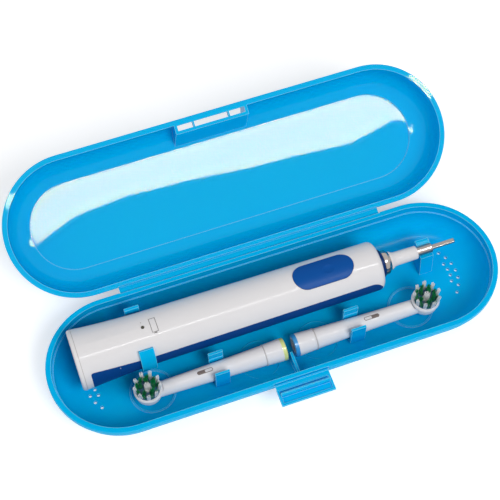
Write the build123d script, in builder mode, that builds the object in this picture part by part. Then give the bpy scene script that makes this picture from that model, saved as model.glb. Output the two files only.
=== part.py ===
from build123d import *
import os
from math import atan2, cos, degrees, radians, sin, sqrt, tan

# Hinged travel case for an electric toothbrush, standing open, with the toothbrush handle in its clip and
# two spare brush heads. Millimetres, +Z up, +X along the case, +Y towards the hinge.
# Origin: centre of the flat foot of the base tray.

# Case shells
CASE_LENGTH = 235.0
CASE_WIDTH = 72.6
HALF_HEIGHT = 20.0  # height of each half, from its rim to its foot or roof
SHELL_WALL = 1.5
FLANGE_DEPTH = 3.2
FLANGE_PROUD = 1.3
FLANGE_EDGE = 0.4
RIM_LAND = 2.7  # width of the flat rim
DRAFT = 2.5  # degrees
INNER_ROUND = 12.6  # between wall and floor, inside
LEDGE_DEPTH = 4.5
LEDGE_STEP = 0.6
ROOF_PANEL_ROUND = 1.5  # how far the sunk roof panel reaches past the flat of the roof
ROOF_PANEL_DEPTH = 0.6

# Fold strip and lid position
LID_OPENING = 150.0  # degrees from closed
FOLD_PITCH = 3.4  # between the two fold lines
RIM_GAP = 0.1  # between the two rims of the closed case
BARREL_RADIUS = 0.45
BARREL_GAP = 0.05
STRIP_THICKNESS = 0.6
STRIP_LENGTH = 140.0
STRIP_END_GAP = 0.3

# Latch flap on the tray, and its pocket in the lid
LATCH_WIDTH = 27.7
LATCH_REACH = 11.0
LATCH_ROOT = 2.0  # from the fold line to the thick part of the flap
LATCH_FILM = 0.3
LATCH_FLOOR = 0.8
LATCH_TRAY_DEPTH = 1.0
LATCH_FACE_GAP = 0.1
LATCH_EDGE = 1.2
HOOK_CLEARANCE = 0.2
HOOK_THICKNESS = 1.2
HOOK_REACH = 2.1
POCKET_WIDTH = 36.0
POCKET_SETBACK = 5.9  # from the flange's face to the back of the pocket
POCKET_SLOPE = 18.0  # degrees
WINDOW_BAR = 3.2  # bar of flange left in front of the windows
WINDOW_GAP = 0.1
WINDOW_DIVIDERS = 9.4  # distance of the two dividers from the middle
WINDOW_DIVIDER_WIDTH = 0.9

# Floor of the tray
VENT_RADIUS = 0.75
VENT_PITCH = 13.3  # degrees
VENT_OUTER_ROW = 18.8
VENT_OUTER_COUNT = 7
VENT_INNER_ROW = 15.2
VENT_INNER_COUNT = 4
RING_RIB_X = 69.3
RING_RIB_Y = -12.2
RING_RIB_RADIUS = 11.2
RING_RIB_WIDTH = 0.8
RING_RIB_HEIGHT = 0.8
DIVIDER_X = 1.6
DIVIDER_THICKNESS = 1.4
DIVIDER_HEIGHT = 7.0
DIVIDER_END = -18.0

# Toothbrush handle, a body of revolution about an axis parallel to X
HANDLE_Y = 8.75
HANDLE_BELOW_RIM = 1.5
HANDLE_REAR = -101.8
HANDLE_SEAM = -99.6
HANDLE_FRONT = 58.0
WAIST_X = -60.0
WAIST_RADIUS = 13.45
HANDLE_TAPER = 0.0059  # loss of radius per millimetre towards the front
FLARE_CURVE = 450.0
SHOULDER_ROUND = 3.0
REAR_ROUND = 1.2
HOUSING_WALL = 2.2
GRIP_START = -95.0
GRIP_END = 56.2
GRIP_EDGE_HEIGHT = 4.4  # of the grip's edge above the handle's axis
GRIP_CORNER = 6.0
GRIP_DEPTH = 1.0
GRIP_FIT = 0.03
PART_FIT = 0.1  # between pieces assembled into each other

# Power button
BUTTON_X = 27.8
BUTTON_LENGTH = 31.5
BUTTON_WIDTH = 13.5
BUTTON_GAP = 0.15
BUTTON_PROUD = 0.3
BUTTON_DIMPLE_X = 30.6
BUTTON_DIMPLE_RADIUS = 9.0
BUTTON_DIMPLE_DEPTH = 0.55
BUTTON_UNDERSIDE = 9.7
BUTTON_TRAVEL = 0.5
RETAINER_OVERLAP = 1.5
RETAINER_WIDTH = 5.0
RETAINER_THICKNESS = 0.8
STEM_RADIUS = 2.5
STEM_BOTTOM = 9.3

# Inside the handle; heights are above the handle's axis
BOARD_UNDERSIDE = 5.0
BOARD_THICKNESS = 1.2
BOARD_WIDTH = 16.0
BOARD_START = -70.0
BOARD_END = 44.0
SWITCH_SIZE = 6.0
SWITCH_HEIGHT = 1.6
PLUNGER_RADIUS = 1.7
INDICATOR_X = -65.9
INDICATOR_RADIUS = 0.8
BATTERY_RADIUS = 7.1
BATTERY_LENGTH = 48.5
BATTERY_START = -80.0
BATTERY_DROP = 3.0
BATTERY_NUB_RADIUS = 2.75
BATTERY_NUB_LENGTH = 1.1
MOTOR_RADIUS = 6.2
MOTOR_START = -23.0
MOTOR_END = 6.0
MOTOR_BOSS_RADIUS = 3.0
MOTOR_BOSS_LENGTH = 1.0
CRANK_DROP = 4.0  # of the motor's axis below the drive shaft's
CRANK_RADIUS = 2.4
CRANK_THROW = 1.3
CRANK_PIN_RADIUS = 0.7
CRANK_DISC_START = 9.0
CRANK_DISC_END = 10.5
CRANK_PIN_END = 13.0
MOTOR_SHAFT_RADIUS = 0.75
FORK_GAP = 5.2
FORK_PRONG = 1.2
FORK_REACH = 6.6
FORK_START = 11.0
FORK_HUB_START = 13.4
FORK_HUB_END = 16.0
FORK_HUB_RADIUS = 3.8
GEAR_SPACE_RADIUS = 8.3
GEAR_SPACE_START = 7.2
GEAR_SPACE_END = 17.5
CHASSIS_START = -86.0
CHASSIS_END = 52.5
COIL_START = -95.0
COIL_END = -87.0
COIL_RADIUS = 10.6
COIL_POST_RADIUS = 6.4
CAP_SPIGOT_END = -95.2
CAP_DIMPLE_RADIUS = 5.0
CAP_DIMPLE_DEPTH = 2.5
SEAL_X = -97.5
SEAL_SECTION_RADIUS = 0.7

# Drive shaft and the neck of the handle
SHAFT_RADIUS = 1.5
SHAFT_RUNNING_GAP = 0.05
BUSH_RADIUS = 3.2
REAR_BUSH_START = 18.0
REAR_BUSH_END = 23.0
FRONT_BUSH_START = 45.0
FRONT_BUSH_END = 52.4
FRONT_WALL = 2.2
NECK_RING_RADIUS = 8.1
NECK_RING_END = 58.8
COLLAR_RADIUS = 6.25
COLLAR_END = 64.5
COLLAR_FLANGE_RADIUS = 9.5
COLLAR_FLANGE_THICKNESS = 2.5
SLEEVE_RADIUS = 3.5
SLEEVE_END = 79.5
FERRULE_RADIUS = 2.4
FERRULE_END = 88.0
BLADE_END = 100.5
BLADE_WIDTH = 2.3
BLADE_THICKNESS = 1.6
BLADE_CHAMFER = 0.4

# Clip and rest that carry the handle in the tray
CLIP_START = -71.5
CLIP_END = -64.0
CLIP_GAP = 0.15
CLIP_THICKNESS = 1.5
CLIP_FOOT_HALF = 7.0
CLIP_NEAR_ANGLE = 135.0  # degrees from +Y about the handle's axis
CLIP_FAR_HEIGHT = 7.5  # top of the straight far finger above the handle's axis
REST_START = 81.0
REST_END = 88.0
REST_GAP = 0.3
REST_NEAR_TOP = 5.5
REST_NEAR_BOTTOM = 3.5
REST_ARM_INNER = 13.1
REST_ARM_OUTER = 14.5
REST_ARM_BELOW_RIM = 0.8

# Spare brush heads: positions along a head are counted from the face of its coloured ring
HEAD_Y = -14.9
HEAD_BELOW_RIM = 12.4
LEFT_HEAD_X = -0.5
RIGHT_HEAD_X = 3.9
HEAD_RING_LENGTH = 2.0
HEAD_RING_RADIUS = 5.8
RING_SPIGOT_RADIUS = 4.7
SEAM_AT = 11.0
SEAM_RADIUS = 5.45
NECK_ROOT_RADIUS = 5.3
NECK_MIDDLE_AT = 30.0
NECK_MIDDLE_RADIUS = 4.7
NECK_TIP_AT = 66.0
NECK_TIP_RADIUS = 3.85
SOCKET_RADIUS = 3.6
SOCKET_DEPTH = 15.0
LINK_BORE_RADIUS = 2.75
LINK_SOCKET_START = 24.0
LINK_SOCKET_END = 37.0
LINK_BORE_END = 37.2
LINK_RADIUS = 2.6
LINK_POCKET_DEPTH = 12.6
ROD_RADIUS = 1.1
ROD_CHANNEL_RADIUS = 1.25
BLADE_GAP = 0.05
DISC_AT = 71.4
DISC_RIM_RADIUS = 7.25
DISC_RIM_HEIGHT = 4.6
DISC_TOP = 5.4
DISC_UNDERSIDE = 2.9
DISC_UNDERSIDE_RADIUS = 6.2
DISC_TOP_RADIUS = 6.8
CUP_RADIUS = 6.5
CUP_WALL = 1.1
CUP_BOTTOM = -3.4
CUP_FLOOR = -2.1
CUP_TOP = 2.7
AXLE_RADIUS = 0.85
HUB_RADIUS = 2.7
HUB_BOTTOM = -1.9
FINGER_OFFSET = 3.5  # of the link's finger from the disc's axis
FINGER_RADIUS = 0.65
FINGER_TOP = 2.4
YOKE_GAP = 2.1
YOKE_WIDTH = 4.5
YOKE_REACH = 4.3
YOKE_BOTTOM = 1.4
YOKE_TOP = 2.6
TUFT_TOP = 10.4
OUTER_TUFTS = 9
OUTER_TUFT_RING = 5.5
OUTER_TUFT_RADIUS = 0.95
INNER_TUFTS = 5
INNER_TUFT_RING = 3.2
INNER_TUFT_RADIUS = 0.85
CENTRE_CUP_RADIUS = 1.9
CENTRE_CUP_HEIGHT = 1.4
CENTRE_TUFT_RADIUS = 1.1

# Clips that carry the brush heads
HEAD_CLIP_SPANS = {"left": (-39.0, -31.5), "right": (32.6, 40.3)}
HEAD_CLIP_GAP = 0.2
HEAD_CLIP_THICKNESS = 1.3
HEAD_CLIP_BELOW_RIM = 3.0
HEAD_CLIP_FLOOR = 0.9
HEAD_CLIP_FOOT_ROUND = 1.5
SNAP_BEAD = 0.45

FOOT_ROUND = INNER_ROUND + SHELL_WALL
RIM_Z = HALF_HEIGHT
FOLD_DEPTH = (FOLD_PITCH - RIM_GAP) / 2  # of each fold line below its rim
FOLD_Y = CASE_WIDTH / 2
REBATE = BARREL_RADIUS + BARREL_GAP
HANDLE_Z = RIM_Z - HANDLE_BELOW_RIM
HEAD_Z = RIM_Z - HEAD_BELOW_RIM
END_CENTRE = (CASE_LENGTH - CASE_WIDTH) / 2
FAR = 100.0  # longer than any cut

half_turn = radians(LID_OPENING / 2)
full_turn = radians(LID_OPENING)
strip_direction = Vector(0, sin(half_turn), cos(half_turn))
tray_fold = Vector(0, FOLD_Y, RIM_Z - FOLD_DEPTH)
lid_fold = tray_fold + strip_direction * FOLD_PITCH
lid_back = Vector(0, cos(full_turn), -sin(full_turn))
lid_up = Vector(0, sin(full_turn), cos(full_turn))
lid_origin = lid_fold - lid_back * FOLD_Y - lid_up * FOLD_DEPTH

# Rim planes whose normals point into each half, and the lid's side plane
TRAY = Plane(origin=(0, 0, RIM_Z), x_dir=(1, 0, 0), z_dir=(0, 0, -1))
LID = Plane(origin=lid_origin, x_dir=(1, 0, 0), z_dir=lid_up)
LID_SIDE = Plane(origin=lid_origin, x_dir=lid_back, z_dir=(1, 0, 0))
HANDLE_SIDE = Plane(origin=(0, HANDLE_Y, HANDLE_Z), x_dir=(1, 0, 0), z_dir=(0, -1, 0))


def save(part, name):
    """Labels a finished piece and writes its STEP file."""
    part.label = name
    export_step(part, f"parts/{name}.step")


def turned(plane, outline):
    """A turned piece about the plane's x axis, from (along, radius) points."""
    with BuildPart() as turning:
        with BuildSketch(plane):
            with BuildLine():
                Polyline(*outline, close=True)
            make_face()
        revolve(axis=Axis(plane.origin, plane.x_dir))
    return turning.part


def slot_outline(inset):
    """The case's oval outline, drawn in from the flange's face."""
    return SlotOverall(CASE_LENGTH - 2 * inset, CASE_WIDTH - 2 * inset)


# ---------------------------------------------------------------- case shells


def outer_form(rim):
    """The outside of one half as a solid: flange, drafted wall and rounded foot."""
    inward = Axis(rim.origin, rim.z_dir)
    with BuildPart() as flange:
        with BuildSketch(rim):
            slot_outline(0)
        extrude(amount=FLANGE_DEPTH)
        rims = flange.edges().group_by(inward)
        fillet(rims[0] + rims[-1], radius=FLANGE_EDGE)
    with BuildPart() as form:
        with BuildSketch(rim):
            slot_outline(FLANGE_PROUD)
        extrude(amount=HALF_HEIGHT, taper=DRAFT)
        fillet(form.edges().group_by(inward)[-1], radius=FOOT_ROUND)
        add(flange.part)
    return form.part


def hollow_form(rim, step):
    """The space inside one half, with a ledge of the given width below the rim."""
    inward = Axis(rim.origin, rim.z_dir)
    floor_depth = HALF_HEIGHT - SHELL_WALL
    drawn_in = LEDGE_DEPTH * tan(radians(DRAFT)) if step else 0
    start = LEDGE_DEPTH if step else 0
    with BuildPart() as hollow:
        with BuildSketch(rim.offset(start)):
            slot_outline(RIM_LAND + drawn_in + step)
        extrude(amount=floor_depth - start, taper=DRAFT)
        fillet(hollow.edges().group_by(inward)[-1], radius=INNER_ROUND)
        if step:
            with BuildSketch(rim):
                slot_outline(RIM_LAND)
            extrude(amount=LEDGE_DEPTH, taper=DRAFT)
    return hollow.part


def rebate(side, fold_to_rim, length):
    """The rebate in a flange that a fold barrel lies in; side is the plane of its section."""
    with BuildPart() as cut:
        with BuildSketch(side):
            with Locations((FOLD_Y - REBATE, -REBATE)):
                Rectangle(2 * REBATE, fold_to_rim + REBATE, align=(Align.MIN, Align.MIN))
        extrude(amount=length / 2, both=True)
    return cut.part


def tray_hollow():
    """The space in the tray, less the ribs that stand on its floor."""
    with BuildPart() as hollow:
        add(hollow_form(TRAY, LEDGE_STEP))
        with BuildSketch():
            with Locations((DIVIDER_X, DIVIDER_END)):
                Rectangle(DIVIDER_THICKNESS, CASE_WIDTH, align=(Align.CENTER, Align.MAX))
        extrude(amount=SHELL_WALL + DIVIDER_HEIGHT, mode=Mode.SUBTRACT)
        with BuildSketch():
            for centre_x in (-RING_RIB_X, RING_RIB_X):
                with Locations((centre_x, RING_RIB_Y)):
                    Circle(RING_RIB_RADIUS + RING_RIB_WIDTH / 2)
                    Circle(RING_RIB_RADIUS - RING_RIB_WIDTH / 2, mode=Mode.SUBTRACT)
        extrude(amount=SHELL_WALL + RING_RIB_HEIGHT, mode=Mode.SUBTRACT)
    return hollow.part


def vent_rows(centre_x, facing):
    """Two arcs of vent holes about one end of the tray, in the sketch being drawn."""
    for radius, count in ((VENT_OUTER_ROW, VENT_OUTER_COUNT), (VENT_INNER_ROW, VENT_INNER_COUNT)):
        span = VENT_PITCH * (count - 1)
        with Locations((centre_x, 0)):
            with PolarLocations(radius, count, start_angle=facing - span / 2, angular_range=span, endpoint=True):
                Circle(VENT_RADIUS)


def make_base_shell():
    """The tray: shell with ledge, vents, ribs, and rebates for the strip and the latch."""
    tray_side = Plane(origin=(0, 0, tray_fold.Z), x_dir=(0, 1, 0), z_dir=(1, 0, 0))
    latch_side = Plane(origin=(0, 0, tray_fold.Z), x_dir=(0, -1, 0), z_dir=(-1, 0, 0))
    with BuildPart() as base_shell:
        add(outer_form(TRAY))
        add(tray_hollow(), mode=Mode.SUBTRACT)
        add(rebate(tray_side, FOLD_DEPTH, STRIP_LENGTH + 2 * STRIP_END_GAP), mode=Mode.SUBTRACT)
        add(rebate(latch_side, FOLD_DEPTH, LATCH_WIDTH + 2 * STRIP_END_GAP), mode=Mode.SUBTRACT)
        with BuildSketch():
            vent_rows(-END_CENTRE, 180)
            vent_rows(END_CENTRE, 0)
        extrude(amount=SHELL_WALL, mode=Mode.SUBTRACT)
    save(base_shell.part, "base_shell")


def pocket_back(offset, bottom, top):
    """Two (y, z) points on the sloping back of the lid's latch pocket, set in by offset."""
    start = POCKET_SETBACK - CASE_WIDTH / 2 + offset
    slope = tan(radians(POCKET_SLOPE))
    return (start + max(0, bottom - FLANGE_DEPTH) * slope, bottom), (start + (top - FLANGE_DEPTH) * slope, top)


def lid_hollow():
    """The space in the lid, less the wall behind the latch pocket, with the sunk roof panel."""
    wall_across = SHELL_WALL / cos(radians(POCKET_SLOPE))
    flat_inset = CASE_WIDTH / 2 - (CASE_WIDTH / 2 - RIM_LAND - INNER_ROUND)
    with BuildPart() as hollow:
        add(hollow_form(LID, 0))
        with BuildSketch(LID.offset(HALF_HEIGHT - SHELL_WALL - ROOF_PANEL_DEPTH)):
            slot_outline(flat_inset - ROOF_PANEL_ROUND)
        extrude(amount=2 * ROOF_PANEL_DEPTH)
        with BuildSketch(LID_SIDE):
            low, high = pocket_back(wall_across, FLANGE_DEPTH, HALF_HEIGHT)
            with BuildLine():
                Polyline((-CASE_WIDTH, -1), (low[0], -1), low, high, (-CASE_WIDTH, HALF_HEIGHT), close=True)
            make_face()
        extrude(amount=POCKET_WIDTH / 2 + SHELL_WALL, both=True, mode=Mode.SUBTRACT)
    return hollow.part


def latch_windows():
    """Three windows in the floor of the latch pocket, in the sketch being drawn."""
    front = WINDOW_BAR - CASE_WIDTH / 2
    back = POCKET_SETBACK - CASE_WIDTH / 2 - WINDOW_GAP
    edges = (WINDOW_DIVIDER_WIDTH / 2 - WINDOW_DIVIDERS, WINDOW_DIVIDERS - WINDOW_DIVIDER_WIDTH / 2)
    outer = POCKET_WIDTH / 2 - WINDOW_GAP
    inner = WINDOW_DIVIDERS + WINDOW_DIVIDER_WIDTH / 2
    for left, right in ((-outer, -inner), edges, (inner, outer)):
        with Locations((left, front)):
            Rectangle(right - left, back - front, align=(Align.MIN, Align.MIN))


def make_lid_shell():
    """The lid: the same shell, with a pocket and windows for the latch and a rebate for the strip."""
    fold_side = Plane(origin=lid_fold - lid_back * FOLD_Y, x_dir=lid_back, z_dir=(-1, 0, 0))
    with BuildPart() as lid_shell:
        add(outer_form(LID))
        add(lid_hollow(), mode=Mode.SUBTRACT)
        with BuildSketch(LID_SIDE):
            low, high = pocket_back(0, FLANGE_DEPTH, HALF_HEIGHT + 1)
            with BuildLine():
                Polyline((-CASE_WIDTH, low[1]), low, high, (-CASE_WIDTH, high[1]), close=True)
            make_face()
        extrude(amount=POCKET_WIDTH / 2, both=True, mode=Mode.SUBTRACT)
        with BuildSketch(LID):
            latch_windows()
        extrude(amount=FLANGE_DEPTH, mode=Mode.SUBTRACT)
        add(rebate(fold_side, FOLD_DEPTH, STRIP_LENGTH + 2 * STRIP_END_GAP), mode=Mode.SUBTRACT)
    save(lid_shell.part, "lid_shell")


def make_hinge_strip():
    """The strip between the halves: two fold barrels and the web that joins them."""
    middle = (tray_fold + lid_fold) * 0.5
    with BuildPart() as hinge_strip:
        with BuildSketch(Plane.YZ):
            with Locations((tray_fold.Y, tray_fold.Z), (lid_fold.Y, lid_fold.Z)):
                Circle(BARREL_RADIUS)
            with Locations((middle.Y, middle.Z)):
                Rectangle(FOLD_PITCH, STRIP_THICKNESS, rotation=90 - LID_OPENING / 2)
        extrude(amount=STRIP_LENGTH / 2, both=True)
    save(hinge_strip.part, "hinge_strip")


def make_latch_flap():
    """The latch: a shallow tray hung on a fold barrel, with a hook rib across its middle."""
    flap_side = Plane(origin=(0, -FOLD_Y, tray_fold.Z), x_dir=(0, -1, 0), z_dir=(-1, 0, 0))
    underside = -LATCH_FACE_GAP - LATCH_TRAY_DEPTH - LATCH_FLOOR
    hook_at = FOLD_DEPTH + RIM_GAP + FLANGE_DEPTH + HOOK_CLEARANCE
    with BuildPart() as latch_flap:
        with BuildSketch(flap_side):
            Circle(BARREL_RADIUS)
            with Locations((0, -LATCH_FILM)):
                Rectangle(LATCH_ROOT + LATCH_EDGE / 2, LATCH_FILM - LATCH_FACE_GAP / 2, align=(Align.MIN, Align.MIN))
            with Locations((LATCH_ROOT, underside)):
                Rectangle(LATCH_REACH - LATCH_ROOT, -LATCH_FACE_GAP - underside, align=(Align.MIN, Align.MIN))
        extrude(amount=LATCH_WIDTH / 2, both=True)
        fillet(latch_flap.edges().filter_by(Axis.X).group_by(Axis.Y)[0].sort_by(Axis.Z)[0], radius=LATCH_FLOOR)
        with BuildSketch(Plane.XY.offset(tray_fold.Z - LATCH_FACE_GAP)):
            with Locations((0, -FOLD_Y - LATCH_ROOT - LATCH_EDGE)):
                Rectangle(
                    LATCH_WIDTH - 2 * LATCH_EDGE,
                    LATCH_REACH - LATCH_ROOT - 2 * LATCH_EDGE,
                    align=(Align.CENTER, Align.MAX),
                )
        extrude(amount=-LATCH_TRAY_DEPTH, taper=20, mode=Mode.SUBTRACT)
        with BuildSketch(flap_side):
            with BuildLine():
                Polyline(
                    (hook_at, underside + LATCH_FLOOR / 2),
                    (hook_at, HOOK_REACH),
                    (hook_at + HOOK_THICKNESS / 2, HOOK_REACH),
                    (hook_at + HOOK_THICKNESS, HOOK_REACH / 2),
                    (hook_at + HOOK_THICKNESS, underside + LATCH_FLOOR / 2),
                    close=True,
                )
            make_face()
        extrude(amount=LATCH_WIDTH / 2 - LATCH_EDGE, both=True)
    save(latch_flap.part, "latch_flap")


# ---------------------------------------------------------------- clips and rest


def make_handle_clip():
    """The U-shaped clip for the handle: one finger wraps over it, the other stands straight."""
    inner = handle_radius(CLIP_START) + CLIP_GAP
    outer = inner + CLIP_THICKNESS
    section = handle_section(CLIP_START)
    foot_drop = HANDLE_Z - SHELL_WALL
    with BuildPart() as handle_clip:
        with BuildSketch(section):
            with BuildLine():
                CenterArc((0, 0), outer, CLIP_NEAR_ANGLE, 360 - CLIP_NEAR_ANGLE)
                Line((outer, 0), (outer, CLIP_FAR_HEIGHT))
                Line((outer, CLIP_FAR_HEIGHT), (inner, CLIP_FAR_HEIGHT))
                Line((inner, CLIP_FAR_HEIGHT), (inner, 0))
                CenterArc((0, 0), inner, 0, CLIP_NEAR_ANGLE - 360)
                near = radians(CLIP_NEAR_ANGLE)
                Line((inner * cos(near), inner * sin(near)), (outer * cos(near), outer * sin(near)))
            make_face()
            with Locations((0, -foot_drop)):
                Rectangle(2 * CLIP_FOOT_HALF, foot_drop, align=(Align.CENTER, Align.MIN))
            Circle(inner, mode=Mode.SUBTRACT)
        extrude(amount=CLIP_END - CLIP_START)
    save(handle_clip.part, "handle_clip")


def make_shaft_rest():
    """The rest under the steel shaft: a low near side, a saddle and a taller far arm."""
    saddle = FERRULE_RADIUS + REST_GAP
    near_top = HANDLE_Z - saddle
    arm_top = RIM_Z - REST_ARM_BELOW_RIM
    with BuildPart() as shaft_rest:
        with BuildSketch(Plane.YZ.offset(REST_START)):
            with BuildLine():
                Polyline(
                    (REST_NEAR_BOTTOM, SHELL_WALL),
                    (REST_NEAR_TOP, near_top),
                    (HANDLE_Y, near_top),
                    (HANDLE_Y, HANDLE_Z),
                    (HANDLE_Y + saddle, HANDLE_Z),
                    (REST_ARM_INNER, arm_top),
                    (REST_ARM_OUTER, arm_top),
                    (REST_ARM_OUTER + 1, SHELL_WALL),
                    close=True,
                )
            make_face()
            with Locations((HANDLE_Y, HANDLE_Z)):
                Circle(saddle, mode=Mode.SUBTRACT)
        extrude(amount=REST_END - REST_START)
    save(shaft_rest.part, "shaft_rest")


def make_head_clip(side):
    """A pair of spring plates with snap beads, for the neck of one brush head."""
    start, end = HEAD_CLIP_SPANS[side]
    ring_x, direction = HEADS[side]
    widest = max(neck_radius((start - ring_x) * direction), neck_radius((end - ring_x) * direction))
    inner = widest + HEAD_CLIP_GAP
    outer = inner + HEAD_CLIP_THICKNESS
    top = RIM_Z - HEAD_CLIP_BELOW_RIM
    bead_z = HEAD_Z + inner * 0.85
    with BuildPart() as head_clip:
        with BuildSketch(Plane.YZ.offset(start)) as section:
            with Locations((HEAD_Y, SHELL_WALL)):
                Rectangle(2 * outer, top - SHELL_WALL, align=(Align.CENTER, Align.MIN))
            fillet(section.vertices().group_by(Axis.Y)[0], radius=HEAD_CLIP_FOOT_ROUND)
            with Locations((HEAD_Y, SHELL_WALL + HEAD_CLIP_FLOOR)):
                Rectangle(2 * inner, top, align=(Align.CENTER, Align.MIN), mode=Mode.SUBTRACT)
            with Locations((HEAD_Y - inner, bead_z), (HEAD_Y + inner, bead_z)):
                Circle(SNAP_BEAD)
        extrude(amount=end - start)
    save(head_clip.part, f"head_clip_{side}")


# ---------------------------------------------------------------- handle


def handle_radius(x):
    """The outer radius of the handle at x: a straight taper, flaring towards the rear."""
    behind_waist = max(0.0, WAIST_X - x)
    flare = FLARE_CURVE - sqrt(FLARE_CURVE**2 - behind_waist**2)
    return WAIST_RADIUS + HANDLE_TAPER * (WAIST_X - x) + flare


def handle_section(x, drop=0.0):
    """The cross-section plane of the handle at x, its x axis along +Y, lowered by drop."""
    return Plane(origin=(x, HANDLE_Y, HANDLE_Z - drop), x_dir=(0, 1, 0), z_dir=(1, 0, 0))


def handle_wall(start, end, inset):
    """Draws the handle's side from start to end, set in by inset, in the line being drawn."""
    begin = (start, handle_radius(start) - inset)
    finish = (end, handle_radius(end) - inset)
    if start < WAIST_X < end:
        middle_x = (start + WAIST_X) / 2
        waist = (WAIST_X, WAIST_RADIUS - inset)
        ThreePointArc(begin, (middle_x, handle_radius(middle_x) - inset), waist)
        Line(waist, finish)
    else:
        Line(begin, finish)
    return begin, finish


def handle_solid(start, end, inset, shoulder=0.0):
    """The handle's form as a solid between two places, set in by inset."""
    with BuildPart() as solid:
        with BuildSketch(HANDLE_SIDE) as profile:
            with BuildLine():
                begin, finish = handle_wall(start, end, inset)
                Polyline(finish, (end, 0), (start, 0), begin)
            make_face()
            if shoulder:
                corner = profile.vertices().sort_by_distance((finish[0], finish[1], 0))[0]
                fillet(corner, radius=shoulder)
        revolve(axis=Axis(HANDLE_SIDE.origin, HANDLE_SIDE.x_dir))
    return solid.part


def grip_form(fit):
    """The space of the grip panel, grown by fit on its hidden faces."""
    length = GRIP_END - GRIP_START + 2 * fit
    with BuildPart() as grip:
        add(handle_solid(HANDLE_SEAM, HANDLE_FRONT, 0, SHOULDER_ROUND))
        with BuildSketch(HANDLE_SIDE) as outline:
            with Locations((GRIP_START - fit, GRIP_EDGE_HEIGHT + fit)):
                Rectangle(length, FAR, align=(Align.MIN, Align.MAX))
            fillet(outline.vertices().group_by(Axis.Y)[-1], radius=GRIP_CORNER)
        extrude(amount=FAR, both=True, mode=Mode.INTERSECT)
        add(handle_solid(HANDLE_SEAM, HANDLE_FRONT, GRIP_DEPTH + fit), mode=Mode.SUBTRACT)
    return grip.part


def make_handle_housing():
    """The white housing: a long moulded shell with a recess for the grip and an opening for the button."""
    with BuildPart() as housing:
        add(handle_solid(HANDLE_SEAM, HANDLE_FRONT, 0, SHOULDER_ROUND))
        add(handle_solid(HANDLE_SEAM, HANDLE_FRONT - FRONT_WALL, HOUSING_WALL), mode=Mode.SUBTRACT)
        add(grip_form(GRIP_FIT), mode=Mode.SUBTRACT)
        with BuildSketch(handle_section(HANDLE_FRONT)):
            Circle(NECK_RING_RADIUS + PART_FIT)
        extrude(amount=-2 * FRONT_WALL, mode=Mode.SUBTRACT)
        with BuildSketch(Plane.XY.offset(HANDLE_Z)):
            with Locations((BUTTON_X, HANDLE_Y)):
                SlotOverall(BUTTON_LENGTH + 2 * BUTTON_GAP, BUTTON_WIDTH + 2 * BUTTON_GAP)
            with Locations((INDICATOR_X, HANDLE_Y)):
                Circle(INDICATOR_RADIUS + PART_FIT)
        extrude(amount=2 * WAIST_RADIUS, mode=Mode.SUBTRACT)
    save(housing.part, "handle_housing")


def make_base_cap():
    """The rear cap: rounded disc with a locating dimple, a grooved spigot and a post for the coil."""
    spigot = handle_radius(CAP_SPIGOT_END) - HOUSING_WALL - PART_FIT
    groove = seal_ring_radius() - SEAL_SECTION_RADIUS - BARREL_GAP
    rear_radius = handle_radius(HANDLE_SEAM) - HANDLE_TAPER
    with BuildPart() as base_cap:
        with BuildSketch(handle_section(HANDLE_REAR)):
            Circle(rear_radius)
        extrude(amount=HANDLE_SEAM - HANDLE_REAR)
        fillet(base_cap.edges().sort_by(Axis.X)[0], radius=REAR_ROUND)
        add(turned(HANDLE_SIDE, [(HANDLE_SEAM, 0), (HANDLE_SEAM, spigot), (CAP_SPIGOT_END, spigot), (CAP_SPIGOT_END, 0)]))
        with BuildSketch(handle_section(CAP_SPIGOT_END)):
            Circle(COIL_POST_RADIUS)
        extrude(amount=COIL_END - CAP_SPIGOT_END)
        with BuildSketch(handle_section(SEAL_X - SEAL_SECTION_RADIUS - BARREL_GAP)):
            Circle(spigot + 1)
            Circle(groove, mode=Mode.SUBTRACT)
        extrude(amount=2 * SEAL_SECTION_RADIUS + 2 * BARREL_GAP, mode=Mode.SUBTRACT)
        with BuildSketch(handle_section(HANDLE_REAR)):
            Circle(CAP_DIMPLE_RADIUS)
        extrude(amount=CAP_DIMPLE_DEPTH, taper=10, mode=Mode.SUBTRACT)
    save(base_cap.part, "base_cap")


def seal_ring_radius():
    """The mean radius of the cap's seal, whose outside just clears the housing's bore."""
    return handle_radius(SEAL_X) - HOUSING_WALL - SEAL_SECTION_RADIUS - BARREL_GAP


def make_cap_seal():
    """The O-ring in the cap's groove."""
    with BuildPart() as cap_seal:
        with BuildSketch(HANDLE_SIDE):
            with Locations((SEAL_X, seal_ring_radius())):
                Circle(SEAL_SECTION_RADIUS)
        revolve(axis=Axis(HANDLE_SIDE.origin, HANDLE_SIDE.x_dir))
    save(cap_seal.part, "cap_seal")


def pocket_sketch(radius):
    """A round-bottomed pocket open at the top, in the sketch being drawn."""
    Circle(radius)
    Rectangle(2 * radius, FAR / 4, align=(Align.CENTER, Align.MIN))


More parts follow.
